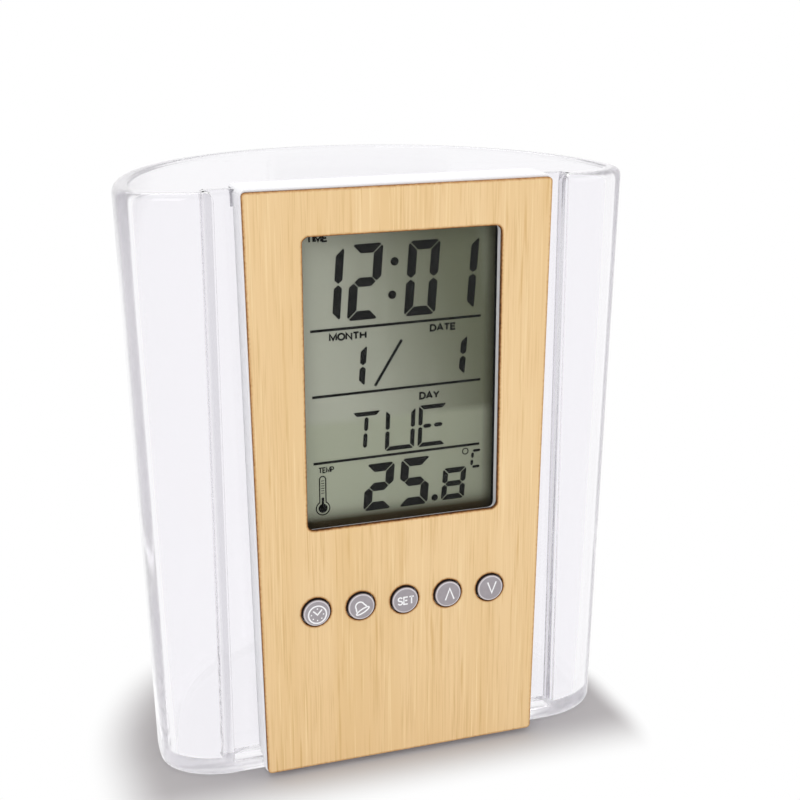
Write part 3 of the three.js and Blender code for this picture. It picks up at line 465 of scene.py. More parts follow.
def attribute_value(tree, name):
    """A mesh attribute's value."""
    node = tree.nodes.new("ShaderNodeAttribute")
    node.attribute_name = name
    return node.outputs["Fac"]


def axes_of(tree, space):
    """The X, Y and Z outputs of a kind of texture coordinate."""
    place = tree.nodes.new("ShaderNodeTexCoord").outputs[space]
    return add_node(tree, "ShaderNodeSeparateXYZ", Vector=place).outputs


def mix_shaders(tree, factor, first, second, output):
    """A surface that goes from the first shader to the second as the factor goes from 0 to 1."""
    mix = add_node(tree, "ShaderNodeMixShader", Fac=factor)
    put(tree, mix.inputs[1], first.outputs[0])
    put(tree, mix.inputs[2], second.outputs[0])
    feed(tree, output, Surface=mix.outputs[0])


def moulded(
    name, low, high, roughness, spread, scale=400.0, grain=4000.0, depth=2e-6, **sockets,
):
    """A moulded or plated finish: two close colours over the group's mask, roughness and grain."""
    material, tree, shader = base_material(name)
    group = finish_node(tree, roughness, spread, scale, grain)
    colour = mix_colour(tree, group.outputs["Mask"], low, high)
    feed(tree, shader, Base_Color=colour, Roughness=group.outputs["Roughness"], **sockets)
    bump(tree, group.outputs["Height"], shader, depth)
    return material


def bamboo_material():
    """Pressed bamboo: upright fibres as noise stretched along Z, edges burnt by a laser."""
    material, tree, shader = base_material("bamboo")

    def grain(scale, along, detail=2.0):
        """Noise in cells that are fine across the board and long, at a low share, along it."""
        return noise(tree, scale, (1, 0.2, along), detail)

    fibre = grain(3800, 0.02, 4.0)
    vessel = grain(1500, 0.03)
    pale = grain(2700, 0.015, 3.0)
    strip = ramp(tree, grain(120, 0.06), 0.35, 0.65)
    patch = ramp(tree, grain(260, 0.15), 0.35, 0.65)
    light = mix_colour(tree, strip, srgb(227, 193, 140), srgb(233, 201, 152))
    dark_fibre = math_node(tree, "MULTIPLY", ramp(tree, fibre, 0.47, 0.74), patch)
    streaked = mix_colour(tree, dark_fibre, light, srgb(212, 176, 121))
    glinting = mix_colour(tree, ramp(tree, pale, 0.57, 0.72), streaked, srgb(238, 209, 160))
    veined = mix_colour(tree, ramp(tree, vessel, 0.62, 0.78), glinting, srgb(211, 172, 113))
    ragged = math_node(tree, "MULTIPLY", noise(tree, 1800), 0.5)
    centred = math_node(tree, "SUBTRACT", ragged, 0.25)
    burn = math_node(tree, "SUBTRACT", attribute_value(tree, "burn"), centred)
    toasted = mix_colour(tree, ramp(tree, burn, 0.15, 0.75), veined, srgb(176, 122, 66))
    burnt = mix_colour(tree, ramp(tree, burn, 0.6, 1.0), toasted, srgb(58, 28, 14))
    charred = math_node(tree, "MULTIPLY", ramp(tree, burn, 0.1, 0.6), 0.4)
    dry = math_node(tree, "ADD", charred, 0.5)
    feed(tree, shader, Base_Color=burnt, Roughness=dry, Specular_IOR_Level=0.3)
    bump(tree, fibre, shader, 12e-6)
    return material


def clear_material():
    """Clear polished plastic, greyer with depth, and with grey shade painted where the mesh's
    "side" attribute marks the recess's sides.

    Shadow rays pass straight through, with a slight loss.
    """
    material, tree, shader = base_material("clear_plastic")
    rough = finish_node(tree, 0.05, 0.05, 60.0, 300.0).outputs["Roughness"]
    # The grey is painted shade on the recess's sides, where the "side" attribute marks them
    clear, grey = (0.956, 0.949, 0.969, 1), srgb(200, 198, 204)
    painted_shade_tint = mix_colour(tree, attribute_value(tree, "side"), clear, grey)
    feed(tree, shader, Base_Color=painted_shade_tint, Roughness=rough, IOR=1.49, Transmission_Weight=1.0)
    output = tree.nodes["Material Output"]
    path = tree.nodes.new("ShaderNodeLightPath")
    through = add_node(tree, "ShaderNodeBsdfTransparent", Color=(0.9, 0.9, 0.91, 1))
    mix_shaders(tree, path.outputs["Is Shadow Ray"], shader, through, output)
    depth = add_node(tree, "ShaderNodeVolumeAbsorption", Color=(0.9, 0.89, 0.91, 1), Density=4.0)
    feed(tree, output, Volume=depth.outputs[0])
    return material


def display_material():
    """A grey-green reflector with painted light and shade: lighter at the upper left and darker
    towards the right, in painted shade along two of its edges, with a painted shadow line at the
    right edge.
    """
    material, tree, shader = base_material("display_ground")
    axes = axes_of(tree, "Object")
    left = WINDOW_CENTRE_X - WINDOW_WIDTH / 2
    right = WINDOW_CENTRE_X + WINDOW_WIDTH / 2
    bottom = WINDOW_MIDDLE_Z - WINDOW_HEIGHT / 2

    def shade(axis, origin, limits):
        """0 to 1 between two distances from an origin along an axis."""
        return ramp(tree, axes[axis], origin + limits[0], origin + limits[1])

    # Painted light and shade: the upper rows fall from light to dark along a slant, the lower rows
    # darken to the right
    slope = math_node(tree, "MULTIPLY", axes["Z"], SHADE_SLOPE)
    leaned = math_node(tree, "ADD", axes["X"], slope)
    reach = (DISPLAY_Z + SHADE_TOP) * SHADE_SLOPE
    first, last = left + SLANT_SHADE[0] + reach, right + SLANT_SHADE[1] + reach
    fall = ramp(tree, leaned, first, last, "SMOOTHSTEP")
    upper = mix_colour(tree, fall, srgb(161, 164, 150), srgb(94, 97, 79))
    across = ramp(tree, axes["X"], left, right)
    lower = mix_colour(tree, across, srgb(156, 161, 142), srgb(130, 134, 116))
    body = mix_colour(tree, shade("Z", DISPLAY_Z, UPPER_ROWS), lower, upper)
    cloud = ramp(tree, noise(tree, 300, (1, 1, 0.1)), 0.55, 1.4)
    clouded = mix_colour(tree, cloud, body, srgb(150, 154, 140))
    # Painted shade along the bottom and the right edge, then a painted shadow line at the right
    # edge
    soft_shade = math_node(tree, "POWER", shade("Z", bottom, LOW_SHADE), LOW_SHADE_POWER)
    low = mix_colour(tree, soft_shade, clouded, srgb(58, 50, 34))
    side = mix_colour(tree, shade("X", right, SIDE_SHADE), low, srgb(50, 48, 38))
    shaded = mix_colour(tree, shade("X", right, RIGHT_EDGE_SHADOW), side, srgb(20, 17, 22))
    feed(tree, shader, Base_Color=shaded, Roughness=0.6, Specular_IOR_Level=0.1)
    bump(tree, noise(tree, 9000, detail=1.0), shader, 1e-6)
    return material


def board_material():
    """Green solder mask with copper tracks showing through as soft upright bands."""
    material, tree, shader = base_material("circuit_board")
    tracks = noise(tree, 1200, (1, 1, 0.06), 0.0)
    colour = mix_colour(tree, ramp(tree, tracks, 0.52, 0.56), srgb(34, 92, 48), srgb(66, 128, 66))
    feed(tree, shader, Base_Color=colour, Roughness=0.35)
    bump(tree, tracks, shader, 15e-6)
    return material


def striped_material():
    """Conductive elastomer: thin dark carbon layers across a pink silicone strip."""
    material, tree, shader = base_material("elastomer")
    place = tree.nodes.new("ShaderNodeTexCoord").outputs["Object"]
    wave = add_node(tree, "ShaderNodeTexWave", Vector=place, Scale=1000.0)
    layers = ramp(tree, wave.outputs["Fac"], 0.45, 0.55)
    colour = mix_colour(tree, layers, srgb(214, 150, 150), srgb(40, 36, 38))
    feed(tree, shader, Base_Color=colour, Roughness=0.8)
    return material


def key_material():
    """Satin grey plastic: the mesh's "rim" attribute is 1 where a highlight is painted on the rim
    and -1 where shade is painted on the sides.
    """
    material, tree, shader = base_material("key_plastic")
    rim = attribute_value(tree, "rim")
    body = mix_colour(tree, noise(tree, 900), srgb(146, 140, 145), srgb(162, 156, 161))
    # A painted highlight on the rim and painted shade on the sides, where the "rim" attribute marks
    # them
    painted_rim_highlight = mix_colour(tree, ramp(tree, rim, 0, 1), body, srgb(206, 202, 207))
    dark = mix_colour(tree, ramp(tree, rim, 0, -1), painted_rim_highlight, srgb(44, 38, 40))
    feed(tree, shader, Base_Color=dark, Roughness=0.4)
    bump(tree, noise(tree, 12000, detail=1.0), shader, 6e-6)
    return material


BAMBOO = bamboo_material()
CLEAR = clear_material()
KEY = key_material()
GROUND = display_material()
BOARD = board_material()
ELASTOMER = striped_material()
# Two colours, roughness and its spread, then the noise's scale, the grain's and its depth
CASE = moulded("case_plastic", srgb(236, 236, 239), srgb(243, 243, 246), 0.22, 0.08)
COVER = moulded(
    "cover_plastic", srgb(226, 227, 230), srgb(236, 237, 239), 0.35, 0.1, 400.0, 9000.0, 4e-6,
)
MARK = moulded("mark_paint", srgb(236, 236, 238), srgb(246, 246, 248), 0.5, 0.1, 2000.0)
INK = moulded(
    "display_ink", srgb(12, 12, 13), srgb(19, 19, 19), 0.5, 0.1, 800.0, Specular_IOR_Level=0.1,
)
FILM = moulded(
    "polarizer_film", srgb(96, 98, 84), srgb(104, 106, 92), 0.3, 0.1, 200.0, Alpha=0.01,
)
PANE = moulded(
    "display_glass", srgb(240, 244, 240), srgb(248, 250, 248), 0.06, 0.02, 200.0,
    Alpha=0.003, Metallic=1.0,
)
EPOXY = moulded("epoxy", srgb(24, 24, 26), srgb(34, 34, 36), 0.3, 0.2, 1500.0, 6000.0, 10e-6)
CERAMIC = moulded(
    "ceramic", srgb(196, 176, 148), srgb(214, 198, 172), 0.7, 0.1, 3000.0, 12000.0, 6e-6,
)
SILICONE = moulded(
    "silicone", srgb(136, 135, 132), srgb(150, 149, 146), 0.75, 0.1, 900.0, 8000.0, 6e-6,
)
STEEL = moulded(
    "steel", srgb(190, 191, 194), srgb(208, 209, 211), 0.28, 0.2, 700.0, 9000.0, 3e-6,
    Metallic=1.0,
)
BRASS = moulded(
    "brass", srgb(198, 164, 92), srgb(214, 182, 112), 0.32, 0.2, 700.0, 9000.0, 3e-6,
    Metallic=1.0,
)


# Cup


def plan_sizes(share, draw):
    """Half width, corner width and back depth at a share of the height, each less a wall."""
    half = BASE_HALF_WIDTH + (RIM_HALF_WIDTH - BASE_HALF_WIDTH) * share - draw
    corner = BASE_CORNER_WIDTH + (RIM_CORNER_WIDTH - BASE_CORNER_WIDTH) * share - draw
    back = BASE_BACK_DEPTH + (RIM_BACK_DEPTH - BASE_BACK_DEPTH) * share - draw
    return half, corner, back


def lobe_start(share, draw, start_x):
    """The angle and depth at which a lobe's quarter ellipse, drawn in by a wall, passes start_x."""
    half, corner, _ = plan_sizes(share, draw)
    angle = -math.acos(max(0.0, start_x - half + corner) / corner)
    return angle, WIDEST_Y + (CORNER_DEPTH - draw) * math.sin(angle)


def stepped_front(wall_y, side_x, hollow, edge):
    """A front's plan: a line along the wall, a quarter circle, a side and a quarter outwards."""
    def front(start_y):
        """The front's points where the lobe starts at a depth."""
        wall_x = np.linspace(0, side_x - hollow, WALL_POINTS)
        inward = arc((side_x - hollow, wall_y - hollow), hollow, 90, 0, HOLLOW_STEPS)
        outward = arc((side_x + edge, start_y + edge), edge, 180, 270, EDGE_STEPS)
        wall = np.stack([wall_x, np.full(WALL_POINTS, wall_y)], axis=1)
        return np.concatenate([wall, inward[1:], outward])
    return front


recess_front = stepped_front(RECESS_Y, RECESS_HALF_WIDTH, RECESS_FILLET, RECESS_EDGE)
well_front = stepped_front(RECESS_Y + FRONT_WALL, WELL_STEP_X, WELL_STEP_FILLET, WELL_CORNER)


def cup_outline(z, draw, start_x, front):
    """The plan at a level: a front, a lobe's quarter ellipse, a quarter of the back's, mirrored."""
    share = z / CUP_TOP
    half, corner, back = plan_sizes(share, draw)
    first, start_y = lobe_start(share, draw, start_x)
    angle = np.linspace(first, 0, LOBE_STEPS + 1)[1:]
    turn = np.linspace(0, math.pi / 2, BACK_STEPS + 1)[1:]
    depth = CORNER_DEPTH - draw
    lobe = (half - corner + corner * np.cos(angle), WIDEST_Y + depth * np.sin(angle))
    rear = (half * np.cos(turn), WIDEST_Y + back * np.sin(turn))
    right = np.concatenate([front(start_y), np.stack(lobe, axis=1), np.stack(rear, axis=1)])
    left = right[-2:0:-1] * (-1, 1)
    return np.concatenate([right, left])


def outer_outline(z, draw_in=0.0):
    """The cup's outside at a level, with the recess; drawn in along its own normals."""
    return inset(cup_outline(z, 0.0, RECESS_HALF_WIDTH + RECESS_EDGE, recess_front), draw_in)


def inner_outline(z, draw_in=0.0):
    """The cup's inside at a level; drawn towards the well by a distance, or away where negative."""
    return inset(cup_outline(z, CUP_WALL, WELL_STEP_X + WELL_CORNER, well_front), draw_in)


def plug_recess(outline, behind=0.0):
    """The outline with its recess closed by a straight front, level with the lobes' front.

    The front's points are spread in x from the wall's end to the lobe; they stand back from the
    lobes' front by a distance that fades out just before the recess's side.
    """
    front = outline[:RECESS_POINTS].copy()
    last = WALL_POINTS - 1
    front[last:, 0] = np.linspace(front[last, 0], front[-1, 0], RECESS_POINTS - last)
    fade = np.clip((RECESS_HALF_WIDTH - front[:, 0]) / RECESS_EDGE, 0, 1)
    front[:, 1] = front[-1, 1] + behind * fade
    closed = outline.copy()
    closed[:RECESS_POINTS] = front
    closed[1 - RECESS_POINTS:] = front[:0:-1] * (-1, 1)
    return closed


def level(outline, z):
    """An outline of (x, y) pairs placed at height z."""
    return np.column_stack([outline, np.full(len(outline), z)])


def quarter(radius, steps):
    """Pairs (rise, draw) round a quarter circle: radius times (1 - cos, 1 - sin) of the angle."""
    angle = np.linspace(0, math.pi / 2, steps + 1)
    return list(zip(radius * (1 - np.cos(angle)), radius * (1 - np.sin(angle))))


def heights(start, end):
    """The heights of the rows between two levels."""
    return np.linspace(start, end, SIDE_STEPS + 1)[1:-1]


def cup_rows():
    """The cup's skin from its base, up the outside, over the rim and down to the floor."""
    rows = []
    for rise, draw in quarter(BASE_EDGE_RADIUS, BASE_STEPS):
        rows.append(level(inset(plug_recess(outer_outline(rise)), draw), rise))
    for rise, draw in reversed(quarter(LEDGE_EDGE_RADIUS, LEDGE_STEPS)):
        z = FLOOR_THICKNESS - rise
        rows.append(level(plug_recess(outer_outline(z), draw), z))
    rows.append(level(outer_outline(FLOOR_THICKNESS), FLOOR_THICKNESS))
    for z in heights(FLOOR_THICKNESS, CUP_TOP - RIM_OUTER_RADIUS):
        rows.append(level(outer_outline(z), z))
    for rise, draw in reversed(quarter(RIM_OUTER_RADIUS, RIM_OUTER_STEPS)):
        z = CUP_TOP - rise
        rows.append(level(outer_outline(z, draw), z))
    for rise, draw in quarter(RIM_INNER_RADIUS, RIM_STEPS):
        z = CUP_TOP - rise
        rows.append(level(inner_outline(z, -draw), z))
    for z in heights(CUP_TOP - RIM_INNER_RADIUS, FLOOR_THICKNESS + FLOOR_FILLET):
        rows.append(level(inner_outline(z), z))
    for rise, draw in reversed(quarter(FLOOR_FILLET, FLOOR_STEPS)):
        z = FLOOR_THICKNESS + rise
        rows.append(level(inner_outline(z, draw), z))
    return np.array(rows)


def recess_shade_mask(rows):
    """Painted grey shade on the clear plastic: 1 on the outside's recess sides, a share just beside
    the left one, and 0 elsewhere.
    """
    mask = np.zeros(rows.shape[:2])
    columns = np.arange(*SHADED_POINTS)
    outside = slice(ROWS_BELOW, len(rows) - INSIDE_ROWS)
    mask[outside, columns] = 1
    mask[outside, -columns] = 1
    mask[outside, [-RECESS_POINTS, 1 - RECESS_POINTS]] = LEFT_SHADE
    return mask.reshape(-1)


cup_skin = cup_rows()
# The "side" attribute carries the grey shade painted on the recess's sides
make_object(
    "cup_clear", capped_loft(cup_skin), "cup", CLEAR, ["cup"],
    smooth=35, attributes={"side": recess_shade_mask(cup_skin)},
)


# Bamboo face


def face_outline():
    """The tapered face: four corners, each rounded."""
    top, bottom = FACE_TOP_WIDTH / 2, FACE_BOTTOM_WIDTH / 2
    low, high = FACE_LOW.z, FACE_HIGH.z
    corners = [(-bottom, low), (bottom, low), (top, high), (-top, high)]
    return rounded(corners, FACE_CORNER)


def key_centre(box):
    """The middle of a key in the front view."""
    low, high = box
    return ((low.x + high.x) / 2, (low.z + high.z) / 2)


def face_plate():
    """A plate with holes, and its burn depth: bands inwards from each edge, the rest filled."""
    window = (WINDOW_CENTRE_X, WINDOW_MIDDLE_Z, WINDOW_WIDTH, WINDOW_HEIGHT, WINDOW_CORNER)
    loops = [face_outline(), rectangle(*window)]
    loops += [circle(key_centre(box), KEY_HOLE_RADIUS) for box in KEY_ROW]
    front, back = FACE_LOW.y, FACE_HIGH.y
    strengths = (EDGE_BURN, WINDOW_BURN, *[KEY_BURN] * len(KEY_ROW))
    parts, burn, inner = [], [], []
    for i, (loop, strength) in enumerate(zip(loops, strengths)):
        way = 1 if i == 0 else -1
        bands = [front_points(loop, back)]
        for distance, depth in FACE_BANDS:
            edge = inset(loop, way * distance) if distance else loop
            bands.append(front_points(edge, front + depth))
        rows = np.stack(bands)
        parts.append((rows.reshape(-1, 3), grid_faces(len(bands), len(loop))))
        shares = np.array([1.0] + [1 - distance / BURN_WIDTH for distance, _ in FACE_BANDS])
        burn.append(np.repeat(shares * strength, len(loop)))
        inner.append(bands[-1])
    for flat, share in ((inner, 0.0), ([front_points(loop, back) for loop in loops], 1.0)):
        parts.append((np.concatenate(flat), fill(flat)))
        burn.append(np.full(len(parts[-1][0]), share))
    return join(parts), np.concatenate(burn)


plate, burn_depth = face_plate()
make_object(
    "bamboo_plate", plate, "clock_module", BAMBOO, ["bamboo_face"],
    smooth=50, attributes={"burn": burn_depth},
)


# Keys


def key_cap(box):
    """A key turned about its own axis: rounded cap, flange behind the case wall and short stem."""
    front = box[0].y + MARK_PROUD
    back = box[1].y
    flange_back = back - KEY_STEM_LENGTH
    flange_front = flange_back - KEY_FLANGE_THICKNESS
    edge = arc((KEY_RADIUS - KEY_EDGE, front + KEY_EDGE), KEY_EDGE, -90, 0, KEY_EDGE_STEPS)
    profile = [
        (0, front), (KEY_RADIUS * 0.6, front), *edge,
        (KEY_RADIUS, flange_front), (KEY_FLANGE_RADIUS, flange_front),
        (KEY_FLANGE_RADIUS, flange_back), (KEY_STEM_RADIUS, flange_back),
        (KEY_STEM_RADIUS, back), (0, back),
    ]
    # 1 for the painted highlight on the rim, -1 for the painted shade on the sides
    rim = np.zeros(len(profile))
    rim[KEY_LIT_RIM] = 1.0
    rim[KEY_SHADED_SIDE] = -1.0
    return turned(profile, key_centre(box)), np.repeat(rim, ROUND_STEPS)


for key_name, key_box in zip(KEY_NODES, KEY_ROW):
    cap, cap_rim = key_cap(key_box)
    make_object(
        f"{key_name}_cap", cap, key_name, KEY, [key_name],
        smooth=40, attributes={"rim": cap_rim},
    )


def letter_arc(x, z, width, height, start, end, steps=8):
    """An elliptical arc on a letter's unit grid."""
    return [tuple(p) for p in arc((0, 0), 1, start, end, steps) * (width, height) + (x, z)]


# Each letter's width and its strokes on a grid that is one unit high
LETTERS = {
    "A": (0.72, [[(0, 0), (0.36, 1), (0.72, 0)], [(0.16, 0.32), (0.56, 0.32)]]),
    "D": (0.66, [[(0.3, 0), (0, 0), (0, 1), (0.3, 1), *letter_arc(0.3, 0.5, 0.36, 0.5, 80, -90)]]),
    "E": (0.56, [[(0.56, 1), (0, 1), (0, 0), (0.56, 0)], [(0, 0.52), (0.5, 0.52)]]),
    "H": (0.62, [[(0, 0), (0, 1)], [(0.62, 0), (0.62, 1)], [(0, 0.52), (0.62, 0.52)]]),
    "I": (0.0, [[(0, 0), (0, 1)]]),
    "M": (0.76, [[(0, 0), (0, 1), (0.38, 0.1), (0.76, 1), (0.76, 0)]]),
    "N": (0.62, [[(0, 0), (0, 1), (0.62, 0), (0.62, 1)]]),
    "O": (0.76, [letter_arc(0.38, 0.5, 0.38, 0.5, 0, 360, 24)]),
    "P": (0.58, [
        [(0, 0), (0, 1), (0.32, 1), *letter_arc(0.32, 0.73, 0.26, 0.27, 80, -90), (0, 0.46)],
    ]),
    "S": (0.6, [
        letter_arc(0.3, 0.75, 0.28, 0.25, 20, 260, 10)
        + letter_arc(0.3, 0.25, 0.3, 0.25, 80, -160, 10),
    ]),
    "T": (0.64, [[(0, 1), (0.64, 1)], [(0.32, 0), (0.32, 1)]]),
    "Y": (0.68, [[(0, 1), (0.34, 0.45), (0.68, 1)], [(0.34, 0), (0.34, 0.45)]]),
}
LETTER_SPACE = 0.22


def words(text, x0, x1, z0, z1, y_front, y_back, line):
    """Block letters in strokes of one width, spaced evenly and fitted to a box."""
    total = sum(LETTERS[letter][0] for letter in text) + LETTER_SPACE * (len(text) - 1)
    size = np.array([(x1 - x0 - line) / total, z1 - z0 - line])
    shapes, x = [], 0.0
    for letter in text:
        width, strokes = LETTERS[letter]
        for stroke in strokes:
            points = (np.array(stroke) + (x, 0)) * size + (x0 + line / 2, z0 + line / 2)
            shapes.append(ribbon(points, line, y_front, y_back))
        x += width + LETTER_SPACE
    return join(shapes)


def from_key(key, dx, dz):
    """A place on a key's front, from its middle, in millimetres."""
    x, z = key_centre(KEY_ROW[key])
    return (x + dx * MM, z + dz * MM)


def key_marks():
    """White marks on the keys, by key: clock, bell, SET, up and down."""
    y0 = KEY_ROW[0][0].y
    y1 = y0 + MARK_THICKNESS
    sx, sz = key_centre(KEY_ROW[2])
    box = (sx - 1.68 * MM, sx + 1.9 * MM, sz - 0.95 * MM, sz + 0.85 * MM)
    up = [from_key(3, -0.62, -1.25), from_key(3, 0.3, 1.2), from_key(3, 1.22, -1.2)]
    down = [from_key(4, -0.62, 1.3), from_key(4, 0.3, -1.05), from_key(4, 1.22, 1.3)]
    return {
        "clock_key": clock_mark(from_key(0, 0.08, -0.3), y0, y1),
        "alarm_key": bell_mark(from_key(1, -0.2, -0.1), y0, y1),
        "set_key": [words("SET", *box, y0, y1, KEY_LINE)],
        "up_key": [ribbon(up, KEY_LINE, y0, y1)],
        "down_key": [ribbon(down, KEY_LINE, y0, y1)],
    }


def clock_mark(centre, y0, y1):
    """A dial: a ring, two hands in one stroke and a dot at each eighth turn that has no hand."""
    x, z = centre
    hands = [(x - 0.85 * MM, z + 0.8 * MM), (x, z - 0.05 * MM), (x + 0.95 * MM, z + 1.0 * MM)]
    ring = circle(centre, 1.8 * MM)
    shapes = [ribbon(ring, KEY_LINE, y0, y1, closed=True), ribbon(hands, KEY_LINE, y0, y1)]
    for eighth in (0, 2, 3, 4, 5, 6):
        a = math.radians(45 * eighth)
        place = (x + 1.22 * MM * math.sin(a), z + 1.22 * MM * math.cos(a))
        shapes.append(prism(circle(place, 0.15 * MM, 12), y0, y1))
    return shapes


def bell_mark(centre, y0, y1):
    """A tilted bell: a dome that flares to its mouth, and the mouth as a long ellipse."""
    tilt = math.radians(28)
    turn = np.array([[math.cos(tilt), -math.sin(tilt)], [math.sin(tilt), math.cos(tilt)]])
    crown = arc((0, 0.3 * MM), 0.9 * MM, 0, 180, 12)
    right, left = (1.16 * MM, -0.5 * MM), (-1.16 * MM, -0.5 * MM)
    dome = np.concatenate([[right], crown, [left]]) @ turn.T + centre
    mouth = circle((0, 0), 1, DOT_STEPS) * (1.45 * MM, 0.4 * MM) + (0, -0.9 * MM)
    mouth = mouth @ turn.T + centre
    return [ribbon(dome, KEY_LINE, y0, y1), ribbon(mouth, KEY_LINE, y0, y1, closed=True)]


for key_name, shapes in key_marks().items():
    make_object(f"{key_name}_mark", join(shapes), key_name, MARK)


# Display


DISPLAY_TILT = 0.0132
DIGIT_SLANT = 0.075
BAR_GAP = 0.13 * MM
CORNER_SHARE = 0.32
MARK_RELIEF = 0.05 * MM
MARK_DEPTH = 0.06 * MM
SHEET_CORNER = 0.5 * MM
LETTER_SLANT = 0.04
DIGIT_BARS = {
    "0": "abcdef", "1": "bc", "2": "abdeg", "5": "acdfg", "8": "abcdefg",
    "T": "a", "U": "bcdef", "E": "adef",
}


def bar_outline(name, width, height, bar):
    """One bar of a seven-bar digit with its lower left corner at zero, ends cut on the slant."""
    mid, half, gap, cut = height / 2, bar / 2, BAR_GAP, bar * CORNER_SHARE
    upper = np.array([
        (0, height - gap - cut), (cut / 2, height - gap - cut / 2), (bar, height - bar - gap),
        (bar, mid + half), (half, mid + gap), (0, mid + half),
    ])
    flat = np.array([
        (gap + cut, 0), (width - gap - cut, 0), (width - gap - cut / 2, cut / 2),
        (width - bar - gap, bar), (bar + gap, bar), (gap + cut / 2, cut / 2),
    ])
    middle = np.array([
        (half + gap, mid), (bar + gap, mid + half), (width - bar - gap, mid + half),
        (width - half - gap, mid), (width - bar - gap, mid - half), (bar + gap, mid - half),
    ])
    across, over = ((-1, 1), (width, 0)), ((1, -1), (0, height))
    shape, flips = {
        "a": (flat, [over]), "b": (upper, [across]), "c": (upper, [over, across]),
        "d": (flat, []), "e": (upper, [over]), "f": (upper, []), "g": (middle, []),
    }[name]
    for way, shift in flips:
        shape = shape * way + shift
    return shape


def on_display(*places):
    """Places on the display, from millimetres in the row frame."""
    return np.array(places) * MM + DISPLAY_ORIGIN


def pointed_bar(x0, z0, x1, z1, width):
    """A bar from one end to the other whose ends are points, its shoulders half its width in."""
    start, end = on_display((x0, z0), (x1, z1))
    along = (end - start) / np.linalg.norm(end - start) * width * MM / 2
    side = np.array([-along[1], along[0]])
    lower = (start + along - side, end - along - side)
    upper = (end - along + side, start + along + side)
    return np.array([start, *lower, end, *upper])


def digit(text, left, bottom, width, height, bar):
    """The bars of a digit or letter in metres, leaned to the right by its slant."""
    shapes = []
    slant = DIGIT_SLANT if text.isdigit() else LETTER_SLANT
    for name in DIGIT_BARS[text]:
        points = bar_outline(name, width * MM, height * MM, bar * MM)
        points = points + np.stack([points[:, 1] * slant, points[:, 0] * DISPLAY_TILT], axis=1)
        shapes.append(points + (left * MM, bottom * MM) + DISPLAY_ORIGIN)
    return shapes


# Each digit's left, bottom, width, height and bar, in millimetres in the row frame
DIGITS = (
    ("1", -17.3, 11.25, 6.0, 14.1, 1.55), ("2", -9.95, 11.25, 6.2, 14.4, 1.75),
    ("0", 1.3, 11.25, 6.3, 14.4, 1.75), ("1", 9.5, 11.6, 6.0, 14.1, 1.55),
    ("1", -10.9, -1.8, 4.3, 8.15, 1.2), ("1", 9.45, -1.35, 4.3, 7.95, 1.25),
    ("T", -9.4, -14.6, 5.8, 7.75, 0.85), ("U", -2.6, -15.2, 6.0, 8.25, 0.85),
    ("E", 4.1, -15.15, 5.8, 8.45, 0.85), ("2", -7.1, -27.1, 5.85, 9.55, 1.7),
    ("5", 0.1, -27.1, 6.1, 9.9, 1.7), ("8", 9.05, -26.8, 4.9, 6.6, 1.1),
)
# Straight strokes: two ends and a width
STROKES = (
    (-17.1, 9.8, 17.0, 10.25, 0.5), (-16.95, -3.0, 17.1, -2.55, 0.5),
    (-16.95, -16.22, 17.1, -15.77, 0.5), (-4.5, -1.85, 0.9, 6.8, 0.55),
)
# Straight bars with pointed ends: two ends and a width
BARS = (
    (-6.2, -7.85, -6.4, -10.75, 0.8), (-6.45, -11.05, -6.65, -14.1, 0.8),
    (5.2, -10.95, 7.05, -10.9, 0.8), (7.45, -10.9, 9.35, -10.85, 0.8),
    (15.7, -17.15, 17.4, -17.1, 0.55), (15.75, -17.45, 15.65, -18.7, 0.55),
    (15.6, -18.95, 15.5, -20.2, 0.55), (15.6, -20.5, 17.3, -20.45, 0.55),
)
# Round dots: centre and radius
DOTS = ((-0.5, 22.0, 0.8), (-0.98, 15.65, 0.8), (7.75, -26.0, 0.68))
# Labels: text, left, right, bottom, top and line width
LABELS = (
    ("TIME", -17.6, -13.4, 26.45, 27.95, 0.36), ("MONTH", -13.5, -6.1, 7.6, 9.15, 0.36),
    ("DATE", 6.55, 11.95, 7.85, 9.35, 0.36), ("DAY", 4.45, 8.65, -5.5, -3.95, 0.36),
    ("TEMP", -16.0, -12.85, -18.25, -17.05, 0.22),
)


def thermometer(y0, y1):
    """A tube's outline with a round top, open into a ring for the bulb, a filled core and ticks."""
    x, bulb_z, top_z = -15.2 * MM, DISPLAY_Z - 25.4 * MM, DISPLAY_Z - 19.5 * MM
    line, tube, ring = 0.22 * MM, 0.62 * MM, 1.35 * MM
    opening = math.degrees(math.asin(tube / ring))
    bulb = arc((x, bulb_z), ring, 90 + opening, 450 - opening, DOT_STEPS)
    neck = arc((x, top_z), tube, 0, 180, 10)
    outline = np.concatenate([bulb, neck])
    shapes = [ribbon(outline, line, y0, y1, closed=True)]
    shapes.append(prism(circle((x, bulb_z), 0.92 * MM, DOT_STEPS), y0, y1))
    shapes.append(ribbon([(x, bulb_z), (x, bulb_z + 2.2 * MM)], 0.5 * MM, y0, y1))
    for k in range(6):
        z = bulb_z + (3.1 + 0.5 * k) * MM
        shapes.append(ribbon([(x - 0.3 * MM, z), (x + 0.3 * MM, z)], 0.12 * MM, y0, y1))
    return shapes


